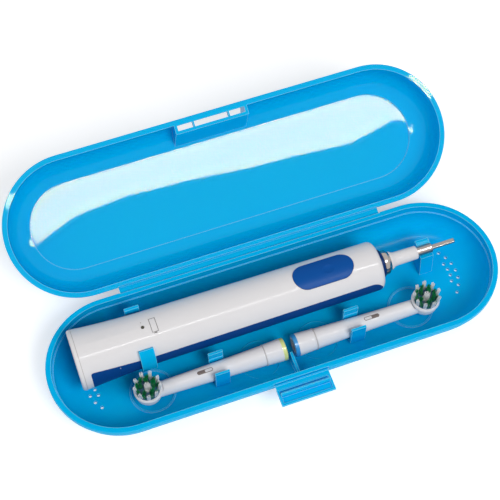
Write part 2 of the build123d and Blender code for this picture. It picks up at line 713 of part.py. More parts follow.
def make_chassis():
    """The inner frame: a half-round carrier with beds for cell, motor, gear and shaft bearings."""
    with BuildPart() as chassis:
        add(handle_solid(CHASSIS_START, CHASSIS_END, HOUSING_WALL + PART_FIT))
        with BuildSketch(Plane.XY.offset(HANDLE_Z + BOARD_UNDERSIDE)):
            Rectangle(CASE_LENGTH, CASE_WIDTH)
        extrude(amount=2 * WAIST_RADIUS, mode=Mode.SUBTRACT)
        with BuildSketch(handle_section(BATTERY_START - PART_FIT, BATTERY_DROP)):
            pocket_sketch(BATTERY_RADIUS + PART_FIT)
        extrude(amount=BATTERY_LENGTH + BATTERY_NUB_LENGTH + 2 * PART_FIT, mode=Mode.SUBTRACT)
        with BuildSketch(handle_section(MOTOR_START - PART_FIT, CRANK_DROP)):
            pocket_sketch(MOTOR_RADIUS + PART_FIT)
        extrude(amount=MOTOR_END - MOTOR_START + 2 * PART_FIT, mode=Mode.SUBTRACT)
        with BuildSketch(handle_section(MOTOR_END, CRANK_DROP)):
            pocket_sketch(MOTOR_BOSS_RADIUS + PART_FIT)
        extrude(amount=2 * MOTOR_BOSS_LENGTH, mode=Mode.SUBTRACT)
        with BuildSketch(handle_section(GEAR_SPACE_START)):
            pocket_sketch(GEAR_SPACE_RADIUS)
        extrude(amount=GEAR_SPACE_END - GEAR_SPACE_START, mode=Mode.SUBTRACT)
        with BuildSketch(handle_section(REAR_BUSH_END)):
            pocket_sketch(GEAR_SPACE_RADIUS)
        extrude(amount=FRONT_BUSH_START - REAR_BUSH_END, mode=Mode.SUBTRACT)
        with BuildSketch(handle_section(GEAR_SPACE_END)):
            Circle(BUSH_RADIUS)
        extrude(amount=CHASSIS_END - GEAR_SPACE_END, mode=Mode.SUBTRACT)
    save(chassis.part, "chassis")


def make_power_train():
    """Cell, motor, crank, fork, shaft and the two bushes it turns in."""
    cell_axis = HANDLE_SIDE.offset(0)
    cell_axis.origin = (0, HANDLE_Y, HANDLE_Z - BATTERY_DROP)
    motor_axis = HANDLE_SIDE.offset(0)
    motor_axis.origin = (0, HANDLE_Y, HANDLE_Z - CRANK_DROP)
    cell_end = BATTERY_START + BATTERY_LENGTH
    nub_end = cell_end + BATTERY_NUB_LENGTH
    cell = turned(
        cell_axis,
        [
            (BATTERY_START, 0),
            (BATTERY_START, BATTERY_RADIUS),
            (cell_end, BATTERY_RADIUS),
            (cell_end, BATTERY_NUB_RADIUS),
            (nub_end, BATTERY_NUB_RADIUS),
            (nub_end, 0),
        ],
    )
    save(cell, "battery_cell")
    boss_end = MOTOR_END + MOTOR_BOSS_LENGTH
    motor = turned(
        motor_axis,
        [
            (MOTOR_START, 0),
            (MOTOR_START, MOTOR_RADIUS),
            (MOTOR_END, MOTOR_RADIUS),
            (MOTOR_END, MOTOR_BOSS_RADIUS),
            (boss_end, MOTOR_BOSS_RADIUS),
            (boss_end, 0),
        ],
    )
    save(motor, "drive_motor")
    make_motor_crank()
    make_shaft_fork()
    make_drive_shaft()
    for name, start, end in (
        ("rear_bush", REAR_BUSH_START, REAR_BUSH_END),
        ("front_bush", FRONT_BUSH_START, FRONT_BUSH_END),
    ):
        bore = SHAFT_RADIUS + SHAFT_RUNNING_GAP
        outside = BUSH_RADIUS - BARREL_GAP
        save(turned(HANDLE_SIDE, [(start, bore), (start, outside), (end, outside), (end, bore)]), name)


def make_motor_crank():
    """The crank on the motor's shaft; its pin stands nearest to the drive shaft at rest."""
    shaft_start = MOTOR_END + MOTOR_BOSS_LENGTH + BARREL_GAP
    with BuildPart() as motor_crank:
        with BuildSketch(handle_section(shaft_start, CRANK_DROP)):
            Circle(MOTOR_SHAFT_RADIUS)
        extrude(amount=CRANK_DISC_START - shaft_start)
        with BuildSketch(handle_section(CRANK_DISC_START, CRANK_DROP)):
            Circle(CRANK_RADIUS)
        extrude(amount=CRANK_DISC_END - CRANK_DISC_START)
        with BuildSketch(handle_section(CRANK_DISC_END, CRANK_DROP - CRANK_THROW)):
            Circle(CRANK_PIN_RADIUS)
        extrude(amount=CRANK_PIN_END - CRANK_DISC_END)
    save(motor_crank.part, "motor_crank")


def make_shaft_fork():
    """The fork on the rear of the drive shaft, whose prongs straddle the crank's pin."""
    prong_y = FORK_GAP / 2 + FORK_PRONG / 2
    with BuildPart() as shaft_fork:
        with BuildSketch(handle_section(FORK_HUB_START)):
            Circle(FORK_HUB_RADIUS)
        extrude(amount=FORK_HUB_END - FORK_HUB_START)
        with BuildSketch(handle_section(FORK_START)):
            with Locations((-prong_y, 0), (prong_y, 0)):
                Rectangle(FORK_PRONG, FORK_REACH, align=(Align.CENTER, Align.MAX))
        extrude(amount=FORK_HUB_END - FORK_START)
        with BuildSketch(handle_section(FORK_HUB_START)):
            Circle(SHAFT_RADIUS + BARREL_GAP)
        extrude(amount=FORK_HUB_END - FORK_HUB_START, mode=Mode.SUBTRACT)
    save(shaft_fork.part, "shaft_fork")


def make_drive_shaft():
    """The steel shaft: slim inside the handle, a ferrule past the sleeve and a flat blade at the tip."""
    ferrule_start = SLEEVE_END + PART_FIT
    with BuildPart() as drive_shaft:
        with BuildSketch(handle_section(FORK_HUB_START)):
            Circle(SHAFT_RADIUS)
        extrude(amount=ferrule_start - FORK_HUB_START)
        with BuildSketch(handle_section(ferrule_start)):
            Circle(FERRULE_RADIUS)
        extrude(amount=FERRULE_END - ferrule_start)
        chamfer(drive_shaft.edges().sort_by(Axis.X)[-1], length=BLADE_CHAMFER)
        with BuildSketch(handle_section(FERRULE_END)):
            RectangleRounded(BLADE_WIDTH, BLADE_THICKNESS, BLADE_CHAMFER)
        extrude(amount=BLADE_END - FERRULE_END)
        chamfer(drive_shaft.faces().sort_by(Axis.X)[-1].edges(), length=BLADE_CHAMFER)
    save(drive_shaft.part, "drive_shaft")


def make_neck():
    """The neck of the handle: dark ring, bright collar with its inner flange, and white sleeve."""
    wall_inside = HANDLE_FRONT - FRONT_WALL
    ring_bore = COLLAR_RADIUS + BARREL_GAP
    neck_ring = turned(
        HANDLE_SIDE,
        [
            (wall_inside, ring_bore),
            (wall_inside, NECK_RING_RADIUS),
            (HANDLE_FRONT, NECK_RING_RADIUS),
            (NECK_RING_END, NECK_RING_RADIUS - 1),
            (NECK_RING_END, ring_bore),
        ],
    )
    save(neck_ring, "neck_ring")
    flange_end = wall_inside - BARREL_GAP
    flange_start = flange_end - COLLAR_FLANGE_THICKNESS
    collar_bore = SLEEVE_RADIUS + BARREL_GAP
    collar = turned(
        HANDLE_SIDE,
        [
            (flange_start, collar_bore),
            (flange_start, COLLAR_FLANGE_RADIUS),
            (flange_end, COLLAR_FLANGE_RADIUS),
            (flange_end, COLLAR_RADIUS),
            (COLLAR_END - 0.6, COLLAR_RADIUS),
            (COLLAR_END, COLLAR_RADIUS - 0.6),
            (COLLAR_END, collar_bore),
        ],
    )
    save(collar, "neck_collar")
    sleeve_bore = SHAFT_RADIUS + SHAFT_RUNNING_GAP
    sleeve = turned(
        HANDLE_SIDE,
        [
            (flange_start, sleeve_bore),
            (flange_start, SLEEVE_RADIUS),
            (SLEEVE_END - 0.5, SLEEVE_RADIUS),
            (SLEEVE_END, SLEEVE_RADIUS - 0.5),
            (SLEEVE_END, sleeve_bore),
        ],
    )
    save(sleeve, "shaft_sleeve")


def make_power_button():
    """The button: an oval key that follows the handle's curve, with a dimple, retainers and a stem."""
    with BuildPart() as power_button:
        with BuildSketch(Plane.XY.offset(HANDLE_Z + BUTTON_UNDERSIDE)):
            with Locations((BUTTON_X, HANDLE_Y)):
                SlotOverall(BUTTON_LENGTH, BUTTON_WIDTH)
        extrude(amount=WAIST_RADIUS)
        add(handle_solid(HANDLE_SEAM, HANDLE_FRONT, -BUTTON_PROUD), mode=Mode.INTERSECT)
        dimple_z = HANDLE_Z + handle_radius(BUTTON_DIMPLE_X) + BUTTON_PROUD
        with Locations((BUTTON_DIMPLE_X, HANDLE_Y, dimple_z + BUTTON_DIMPLE_RADIUS - BUTTON_DIMPLE_DEPTH)):
            Sphere(BUTTON_DIMPLE_RADIUS, mode=Mode.SUBTRACT)
        with BuildSketch(Plane.XY.offset(HANDLE_Z + BUTTON_UNDERSIDE - RETAINER_THICKNESS / 2)):
            with Locations((BUTTON_X, HANDLE_Y)):
                Rectangle(BUTTON_LENGTH + 2 * RETAINER_OVERLAP, RETAINER_WIDTH)
        extrude(amount=RETAINER_THICKNESS / 2)
        with BuildSketch(Plane.XY.offset(HANDLE_Z + STEM_BOTTOM)):
            with Locations((BUTTON_X, HANDLE_Y)):
                Circle(STEM_RADIUS)
        extrude(amount=BUTTON_UNDERSIDE - STEM_BOTTOM)
    save(power_button.part, "power_button")


def make_electronics():
    """Circuit board with its push switch, light guide and charging coil."""
    board_top = HANDLE_Z + BOARD_UNDERSIDE + BOARD_THICKNESS
    with BuildPart() as circuit_board:
        with BuildSketch(Plane.XY.offset(HANDLE_Z + BOARD_UNDERSIDE)):
            with Locations(((BOARD_START + BOARD_END) / 2, HANDLE_Y)):
                RectangleRounded(BOARD_END - BOARD_START, BOARD_WIDTH, 1.5)
        extrude(amount=BOARD_THICKNESS)
    save(circuit_board.part, "circuit_board")
    plunger_top = HANDLE_Z + STEM_BOTTOM - BUTTON_TRAVEL - PART_FIT
    with BuildPart() as push_switch:
        with BuildSketch(Plane.XY.offset(board_top)):
            with Locations((BUTTON_X, HANDLE_Y)):
                Rectangle(SWITCH_SIZE, SWITCH_SIZE)
        extrude(amount=SWITCH_HEIGHT)
        with BuildSketch(Plane.XY.offset(board_top)):
            with Locations((BUTTON_X, HANDLE_Y)):
                Circle(PLUNGER_RADIUS)
        extrude(amount=plunger_top - board_top)
    save(push_switch.part, "push_switch")
    with BuildPart() as indicator_light:
        with BuildSketch(Plane.XY.offset(board_top)):
            with Locations((INDICATOR_X, HANDLE_Y)):
                Circle(INDICATOR_RADIUS)
        extrude(amount=HANDLE_Z + handle_radius(INDICATOR_X) - board_top)
    save(indicator_light.part, "indicator_light")
    coil_bore = COIL_POST_RADIUS + BARREL_GAP
    coil_outline = [(COIL_START, coil_bore), (COIL_START, COIL_RADIUS), (COIL_END, COIL_RADIUS), (COIL_END, coil_bore)]
    save(turned(HANDLE_SIDE, coil_outline), "charging_coil")


# ---------------------------------------------------------------- brush heads

HEADS = {"left": (LEFT_HEAD_X, -1), "right": (RIGHT_HEAD_X, 1)}


def neck_radius(along):
    """The radius of a head's neck at a place along it, on the arc through its three measured radii."""
    span = NECK_TIP_AT - SEAM_AT
    chord = NECK_ROOT_RADIUS + (NECK_TIP_RADIUS - NECK_ROOT_RADIUS) * (along - SEAM_AT) / span
    return chord


def head_planes(side):
    """The side plane of a head, its x axis along the head, and the plane of the disc's axis."""
    ring_x, direction = HEADS[side]
    along = Plane(origin=(ring_x, HEAD_Y, HEAD_Z), x_dir=(direction, 0, 0), z_dir=(0, -direction, 0))
    disc = Plane(origin=(ring_x + direction * DISC_AT, HEAD_Y, HEAD_Z), x_dir=(direction, 0, 0), z_dir=(0, 0, 1))
    return along, disc


def upright(disc, outline):
    """A piece turned about a disc's upright axis, from (radius, height) points."""
    side = Plane(origin=disc.origin, x_dir=disc.x_dir, z_dir=disc.z_dir.cross(disc.x_dir) * -1)
    with BuildPart() as turning:
        with BuildSketch(side):
            with BuildLine():
                Polyline(*outline, close=True)
            make_face()
        revolve(axis=Axis(disc.origin, disc.z_dir))
    return turning.part


def make_head_neck(side):
    """The white neck: a tapered tube with a socket at one end and a cup for the disc at the other."""
    along, disc = head_planes(side)
    axis = Axis(along.origin, along.x_dir)
    with BuildPart() as neck:
        with BuildSketch(along):
            with BuildLine():
                Polyline(
                    (PART_FIT, 0),
                    (PART_FIT, RING_SPIGOT_RADIUS),
                    (HEAD_RING_LENGTH, RING_SPIGOT_RADIUS),
                    (HEAD_RING_LENGTH, HEAD_RING_RADIUS),
                    (HEAD_RING_LENGTH + 1, HEAD_RING_RADIUS),
                    (SEAM_AT - 0.3, SEAM_RADIUS),
                    (SEAM_AT, SEAM_RADIUS + 0.12),
                    (SEAM_AT + 0.3, NECK_ROOT_RADIUS),
                )
                ThreePointArc(
                    (SEAM_AT + 0.3, NECK_ROOT_RADIUS),
                    (NECK_MIDDLE_AT, NECK_MIDDLE_RADIUS),
                    (NECK_TIP_AT, NECK_TIP_RADIUS),
                )
                Polyline((NECK_TIP_AT, NECK_TIP_RADIUS), (DISC_AT, NECK_TIP_RADIUS - 0.2), (DISC_AT, 0), (PART_FIT, 0))
            make_face()
        revolve(axis=axis)
        add(
            upright(
                disc,
                [
                    (0, CUP_BOTTOM),
                    (CUP_RADIUS - 2.4, CUP_BOTTOM),
                    (CUP_RADIUS - 0.6, CUP_BOTTOM + 1.6),
                    (CUP_RADIUS, 0),
                    (CUP_RADIUS, CUP_TOP),
                    (0, CUP_TOP),
                ],
            )
        )
        with BuildSketch(disc.offset(CUP_TOP)):
            Circle(DISC_RIM_RADIUS + 2 * PART_FIT)
        extrude(amount=HEAD_RING_RADIUS, mode=Mode.SUBTRACT)
        bore = [
            (0, 0),
            (0, SOCKET_RADIUS),
            (SOCKET_DEPTH, SOCKET_RADIUS),
            (SOCKET_DEPTH, LINK_BORE_RADIUS),
            (LINK_BORE_END, LINK_BORE_RADIUS),
            (LINK_BORE_END, ROD_CHANNEL_RADIUS),
            (DISC_AT, ROD_CHANNEL_RADIUS),
            (DISC_AT, 0),
        ]
        add(turned(along, bore), mode=Mode.SUBTRACT)
        with BuildSketch(disc.offset(CUP_FLOOR)):
            Circle(CUP_RADIUS - CUP_WALL)
        extrude(amount=CUP_TOP - CUP_FLOOR, mode=Mode.SUBTRACT)
        with BuildSketch(disc.offset(CUP_FLOOR)):
            Circle(AXLE_RADIUS)
        extrude(amount=DISC_TOP - CUP_FLOOR - 1)
    save(neck.part, f"head_neck_{side}")


def make_head_disc(side):
    """The disc that carries the tufts: flared rim, centre cup, hub on the neck's axle, and yoke."""
    disc = head_planes(side)[1]
    bore = AXLE_RADIUS + SHAFT_RUNNING_GAP
    top = DISC_TOP + CENTRE_CUP_HEIGHT
    with BuildPart() as head_disc:
        add(
            upright(
                disc,
                [
                    (0, HUB_BOTTOM),
                    (HUB_RADIUS, HUB_BOTTOM),
                    (HUB_RADIUS, DISC_UNDERSIDE),
                    (DISC_UNDERSIDE_RADIUS, DISC_UNDERSIDE),
                    (DISC_RIM_RADIUS, DISC_RIM_HEIGHT),
                    (DISC_TOP_RADIUS, DISC_TOP),
                    (CENTRE_CUP_RADIUS, DISC_TOP),
                    (CENTRE_CUP_RADIUS - 0.2, top),
                    (CENTRE_TUFT_RADIUS, top),
                    (CENTRE_TUFT_RADIUS, DISC_TOP),
                    (0, DISC_TOP),
                ],
            )
        )
        with BuildSketch(disc.offset(YOKE_BOTTOM)):
            with Locations((-YOKE_REACH, 0)):
                Rectangle(YOKE_REACH, YOKE_WIDTH, align=(Align.MIN, Align.CENTER))
            with Locations((-YOKE_REACH, 0)):
                Rectangle(YOKE_REACH - HUB_RADIUS, YOKE_GAP, align=(Align.MIN, Align.CENTER), mode=Mode.SUBTRACT)
        extrude(amount=YOKE_TOP - YOKE_BOTTOM)
        with BuildSketch(disc.offset(HUB_BOTTOM)):
            Circle(bore)
        extrude(amount=DISC_TOP - 1 - HUB_BOTTOM + SHAFT_RUNNING_GAP, mode=Mode.SUBTRACT)
    save(head_disc.part, f"head_disc_{side}")


def make_tufts(side):
    """Plain forms of the tufts: white ones around the edge and in the middle, green ones between."""
    disc = head_planes(side)[1]
    foot = disc.offset(DISC_TOP)
    with BuildPart() as tufts_white:
        with BuildSketch(foot):
            Circle(CENTRE_TUFT_RADIUS - BARREL_GAP)
            with PolarLocations(OUTER_TUFT_RING, OUTER_TUFTS):
                Circle(OUTER_TUFT_RADIUS)
        extrude(amount=TUFT_TOP - DISC_TOP)
    save(tufts_white.part, f"tufts_white_{side}")
    with BuildPart() as tufts_green:
        with BuildSketch(foot):
            with PolarLocations(INNER_TUFT_RING, INNER_TUFTS):
                Circle(INNER_TUFT_RADIUS)
        extrude(amount=TUFT_TOP - DISC_TOP)
    save(tufts_green.part, f"tufts_green_{side}")


def make_drive_link(side):
    """The rod inside a head: a socket for the shaft's blade at one end, a finger for the yoke at the other."""
    along, disc = head_planes(side)
    rod_end = DISC_AT - HUB_RADIUS - 2 * PART_FIT
    outline = [
        (LINK_SOCKET_START, 0),
        (LINK_SOCKET_START, LINK_RADIUS),
        (LINK_SOCKET_END, LINK_RADIUS),
        (LINK_SOCKET_END, ROD_RADIUS),
        (rod_end, ROD_RADIUS),
        (rod_end, 0),
    ]
    direction = HEADS[side][1]
    mouth = Plane(origin=along.origin + along.x_dir * LINK_SOCKET_START, x_dir=(0, direction, 0), z_dir=along.x_dir)
    with BuildPart() as drive_link:
        add(turned(along, outline))
        with BuildSketch(mouth):
            Rectangle(BLADE_WIDTH + 2 * BLADE_GAP, BLADE_THICKNESS + 2 * BLADE_GAP)
        extrude(amount=LINK_POCKET_DEPTH, mode=Mode.SUBTRACT)
        with BuildSketch(disc):
            with Locations((-FINGER_OFFSET, 0)):
                Circle(FINGER_RADIUS)
        extrude(amount=FINGER_TOP)
    save(drive_link.part, f"drive_link_{side}")


def make_head_ring(side):
    """The coloured ring that tells the heads apart."""
    along = head_planes(side)[0]
    bore = RING_SPIGOT_RADIUS + BARREL_GAP
    outline = [(0, bore), (0, HEAD_RING_RADIUS - 0.3), (0.3, HEAD_RING_RADIUS)]
    outline += [(HEAD_RING_LENGTH, HEAD_RING_RADIUS), (HEAD_RING_LENGTH, bore)]
    save(turned(along, outline), f"head_ring_{side}")


os.makedirs("parts", exist_ok=True)
make_base_shell()
make_lid_shell()
make_hinge_strip()
make_latch_flap()
make_handle_clip()
make_shaft_rest()
make_handle_housing()
save(grip_form(0), "grip_panel")
make_base_cap()
make_cap_seal()
make_chassis()
make_power_train()
make_neck()
make_power_button()
make_electronics()
for head_side in HEADS:
    make_head_clip(head_side)
    make_head_neck(head_side)
    make_head_disc(head_side)
    make_tufts(head_side)
    make_drive_link(head_side)
    make_head_ring(head_side)
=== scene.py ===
"""Looks of a travel case with a toothbrush handle and two spare brush heads.

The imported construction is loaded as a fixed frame, and each of its nodes gets a procedural
finish. The bristles are grown as filaments, small parts are turned or laid on, and a studio with
a camera, lamps and a floor is set round the case.
"""

import logging
import math
from dataclasses import dataclass, field, replace
from enum import Enum
from typing import Any

import bpy
from mathutils import Matrix, Vector


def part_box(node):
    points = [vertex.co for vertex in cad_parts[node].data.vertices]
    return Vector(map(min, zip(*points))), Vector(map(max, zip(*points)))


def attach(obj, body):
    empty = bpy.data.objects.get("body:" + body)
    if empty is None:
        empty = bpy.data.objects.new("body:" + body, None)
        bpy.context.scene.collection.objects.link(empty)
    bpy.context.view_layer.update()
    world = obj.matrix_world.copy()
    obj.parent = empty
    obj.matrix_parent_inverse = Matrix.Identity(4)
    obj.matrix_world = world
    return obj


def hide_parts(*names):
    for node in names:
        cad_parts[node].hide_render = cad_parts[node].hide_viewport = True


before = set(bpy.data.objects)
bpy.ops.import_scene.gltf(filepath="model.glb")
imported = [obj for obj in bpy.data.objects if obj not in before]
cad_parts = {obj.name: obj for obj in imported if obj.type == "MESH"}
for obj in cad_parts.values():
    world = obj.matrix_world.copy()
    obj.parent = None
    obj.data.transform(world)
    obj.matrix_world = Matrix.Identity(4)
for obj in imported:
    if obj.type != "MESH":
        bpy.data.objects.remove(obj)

log = logging.getLogger("travel_case")
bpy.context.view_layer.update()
MM = 0.001
Colour = tuple[float, float, float, float]
Point = tuple[float, float, float]
CrossLine = tuple[float, float, float]
Face = tuple[int, ...]

FLOAT, INTEGER, VECTOR = "NodeSocketFloat", "NodeSocketInt", "NodeSocketVector"
COLOUR, GEOMETRY, MATERIAL = "NodeSocketColor", "NodeSocketGeometry", "NodeSocketMaterial"

# Places on the case, in millimetres: the (y, z) of two axes along X, and the handle's outline.
HANDLE_AXIS = (8.75, 18.5)
HEAD_AXIS = (-14.9, 7.6)
WAIST_X = -60.0
WAIST_RADIUS = 13.45
HANDLE_TAPER = 0.0059
FLARE_CURVE = 450.0


def colour(red: float, green: float, blue: float) -> Colour:
    """Returns an opaque linear colour."""
    return (red, green, blue, 1.0)


WHITE = colour(1.0, 1.0, 1.0)


class Side(Enum):
    """The two spare heads, by the end of the case that they point to."""

    LEFT = "left"
    RIGHT = "right"


def add_object(name: str, data: Any) -> bpy.types.Object:
    """Returns a new object in the scene for a mesh, a lamp or a camera."""
    made = bpy.data.objects.new(name, data)
    bpy.context.scene.collection.objects.link(made)
    return made


def circle(sides: int) -> list[tuple[float, float]]:
    """Returns the cosine and sine of evenly spaced angles, once round."""
    angles = (2.0 * math.pi * side / sides for side in range(sides))
    return [(math.cos(angle), math.sin(angle)) for angle in angles]


def tube_faces(rows: int, sides: int) -> list[Face]:
    """Returns the faces between rows of points that each run once round."""
    faces: list[Face] = []
    for row in range(rows - 1):
        low, high = row * sides, (row + 1) * sides
        for side in range(sides):
            following = (side + 1) % sides
            faces.append((low + side, low + following, high + following, high + side))
    return faces


# ------------------------------------------------- node wiring

# The two colour inputs of a Mix node, which share their names with its other inputs.
MIX_FIRST, MIX_SECOND = 6, 7
# How coarse a skin's broad variation is, beside its grain.
BROAD_SHARE = 0.06
# The rub marks: their direction, and where they start and how sharply they rise.
STREAK_TURN, STREAK_STRETCH = (0.3, 0.1, 0.7), (1.0, 14.0, 6.0)
STREAK_FROM, STREAK_GAIN = 0.62, 12.0
PATCH_FROM, PATCH_GAIN = 0.5, 4.0
EDGE_SAMPLES = 6
BUMP_DISTANCE = 0.0002


@dataclass
class Wiring:
    """A node tree while it is being wired."""

    tree: bpy.types.NodeTree

    def add(
        self, kind: str, inputs: dict[str | int, Any] | None = None, **settings: Any
    ) -> bpy.types.Node:
        """Adds a node, sets its properties and fills or links its inputs.

        Args:
            kind: The node's Blender type name.
            inputs: Input name or index to a value or to another node's output.
            **settings: Properties of the node.

        Returns:
            The new node.
        """
        node = self.tree.nodes.new(kind)
        for name, value in settings.items():
            setattr(node, name, value)
        for key, value in (inputs or {}).items():
            if isinstance(value, bpy.types.NodeSocket):
                self.tree.links.new(value, node.inputs[key])
            else:
                node.inputs[key].default_value = value
        return node

    def math(
        self, operation: str, first: Any, second: Any = 0.0, clamp: bool = False
    ) -> bpy.types.NodeSocket:
        """Returns the output of a Math node.

        Args:
            operation: Blender's name of the operation.
            first: Value or socket.
            second: Value or socket.
            clamp: Whether the result is kept between 0 and 1.

        Returns:
            The node's output.
        """
        inputs = {0: first, 1: second}
        node = self.add("ShaderNodeMath", inputs, operation=operation, use_clamp=clamp)
        return node.outputs[0]

    def vector(self, operation: str, inputs: dict[str | int, Any]) -> bpy.types.NodeSocket:
        """Returns the vector output of a Vector Math node with the given inputs."""
        return self.add("ShaderNodeVectorMath", inputs, operation=operation).outputs[0]

    def mix(self, share: Any, first: Any, second: Any) -> bpy.types.NodeSocket:
        """Returns a mix of two colours, with the second colour's share."""
        inputs = {"Factor": share, MIX_FIRST: first, MIX_SECOND: second}
        return self.add("ShaderNodeMix", inputs, data_type="RGBA").outputs[2]


def new_group(
    name: str, kind: str, inputs: list[tuple[str, str, Any]], outputs: list[tuple[str, str]]
) -> Wiring:
    """Starts a node group with named inputs and outputs.

    Args:
        name: Name of the group.
        kind: Blender's type name of the tree.
        inputs: Name, socket type and default value of each input.
        outputs: Name and socket type of each output.

    Returns:
        The group's wiring, still without nodes.
    """
    tree = bpy.data.node_groups.new(name, kind)
    for label, socket, default in inputs:
        made = tree.interface.new_socket(label, in_out="INPUT", socket_type=socket)
        if default is not None:
            made.default_value = default
    for label, socket in outputs:
        tree.interface.new_socket(label, in_out="OUTPUT", socket_type=socket)
    return Wiring(tree)


def blank_material(name: str) -> tuple[bpy.types.Material, Wiring]:
    """Returns a new material without nodes, and its wiring."""
    made = bpy.data.materials.new(name)
    made.use_nodes = True
    made.node_tree.nodes.clear()
    return made, Wiring(made.node_tree)


def drift_group() -> bpy.types.NodeTree:
    """Returns the group that lets a moulded colour drift a little in tone over a piece."""
    wiring = new_group(
        "tone_drift",
        "ShaderNodeTree",
        [("Colour", COLOUR, WHITE), ("Scale", FLOAT, 20.0), ("Amount", FLOAT, 0.05)],
        [("Colour", COLOUR)],
    )
    start = wiring.add("NodeGroupInput").outputs
    place = wiring.add("ShaderNodeTexCoord").outputs["Object"]
    noise = wiring.add(
        "ShaderNodeTexNoise", {"Vector": place, "Scale": start["Scale"], "Detail": 3.0}
    )
    centred = wiring.math("SUBTRACT", noise.outputs["Fac"], 0.5)
    value = wiring.math("ADD", wiring.math("MULTIPLY", centred, start["Amount"]), 1.0)
    toned = wiring.add("ShaderNodeHueSaturation", {"Color": start["Colour"], "Value": value})
    wiring.add("NodeGroupOutput", {"Colour": toned.outputs["Color"]})
    return wiring.tree


def grain_group() -> bpy.types.NodeTree:
    """Returns the group for a skin: a height for its bump and a roughness that varies."""
    wiring = new_group(
        "skin_grain",
        "ShaderNodeTree",
        [
            ("Scale", FLOAT, 900.0), ("Stretch", VECTOR, (1.0, 1.0, 1.0)),
            ("Roughness", FLOAT, 0.3), ("Variation", FLOAT, 0.05),
        ],
        [("Height", FLOAT), ("Roughness", FLOAT)],
    )
    start = wiring.add("NodeGroupInput").outputs
    place = wiring.add("ShaderNodeTexCoord").outputs["Object"]
    stretched = wiring.vector("MULTIPLY", {0: place, 1: start["Stretch"]})
    fine = wiring.add(
        "ShaderNodeTexNoise", {"Vector": stretched, "Scale": start["Scale"], "Detail": 4.0}
    )
    broad_scale = wiring.math("MULTIPLY", start["Scale"], BROAD_SHARE)
    broad = wiring.add(
        "ShaderNodeTexNoise", {"Vector": stretched, "Scale": broad_scale, "Detail": 2.0}
    )
    centred = wiring.math("SUBTRACT", broad.outputs["Fac"], 0.5)
    change = wiring.math("MULTIPLY", centred, start["Variation"])
    rough = wiring.math("ADD", start["Roughness"], change, clamp=True)
    wiring.add("NodeGroupOutput", {"Height": fine.outputs["Fac"], "Roughness": rough})
    return wiring.tree


def handling_group() -> bpy.types.NodeTree:
    """Returns the group that gives a mask of faint rub marks from handling."""
    wiring = new_group(
        "handling_marks",
        "ShaderNodeTree",
        [("Scale", FLOAT, 60.0), ("Amount", FLOAT, 0.1)],
        [("Mask", FLOAT)],
    )
    start = wiring.add("NodeGroupInput").outputs
    place = wiring.add("ShaderNodeTexCoord").outputs["Object"]
    turned = wiring.add(
        "ShaderNodeMapping",
        {"Vector": place, "Rotation": STREAK_TURN, "Scale": STREAK_STRETCH},
    ).outputs[0]
    streaks = wiring.add("ShaderNodeTexNoise", {"Vector": turned, "Scale": start["Scale"]})
    patches = wiring.add("ShaderNodeTexNoise", {"Vector": place, "Scale": start["Scale"]})
    streak = wiring.math("SUBTRACT", streaks.outputs["Fac"], STREAK_FROM)
    patch = wiring.math("SUBTRACT", patches.outputs["Fac"], PATCH_FROM)
    lines = wiring.math("MULTIPLY", streak, STREAK_GAIN, clamp=True)
    where = wiring.math("MULTIPLY", patch, PATCH_GAIN, clamp=True)
    marked = wiring.math("MULTIPLY", lines, where)
    mask = wiring.math("MULTIPLY", marked, start["Amount"], clamp=True)
    wiring.add("NodeGroupOutput", {"Mask": mask})
    return wiring.tree


def edge_highlight_group() -> bpy.types.NodeTree:
    """Returns the group that finds the edges of a moulding: a mask that is 1 on a sharp edge, which
    carries a painted highlight.
    """
    wiring = new_group(
        "edge_highlight_mask",
        "ShaderNodeTree",
        [("Width", FLOAT, 0.0004), ("Gain", FLOAT, 3.0)],
        [("Mask", FLOAT)],
    )
    start = wiring.add("NodeGroupInput").outputs
    bevel = wiring.add("ShaderNodeBevel", {"Radius": start["Width"]}, samples=EDGE_SAMPLES)
    plain = wiring.add("ShaderNodeNewGeometry").outputs["Normal"]
    facing = wiring.add(
        "ShaderNodeVectorMath", {0: bevel.outputs[0], 1: plain}, operation="DOT_PRODUCT"
    )
    apart = wiring.math("SUBTRACT", 1.0, facing.outputs["Value"], clamp=True)
    mask = wiring.math("MULTIPLY", apart, start["Gain"], clamp=True)
    wiring.add("NodeGroupOutput", {"Mask": mask})
    return wiring.tree


SHARED_GROUPS = {
    "drift": drift_group(),
    "grain": grain_group(),
    "handling": handling_group(),
    # The edge mask places the painted edge highlight.
    "edge": edge_highlight_group(),
}


# ---------------------------------------------------- finishes


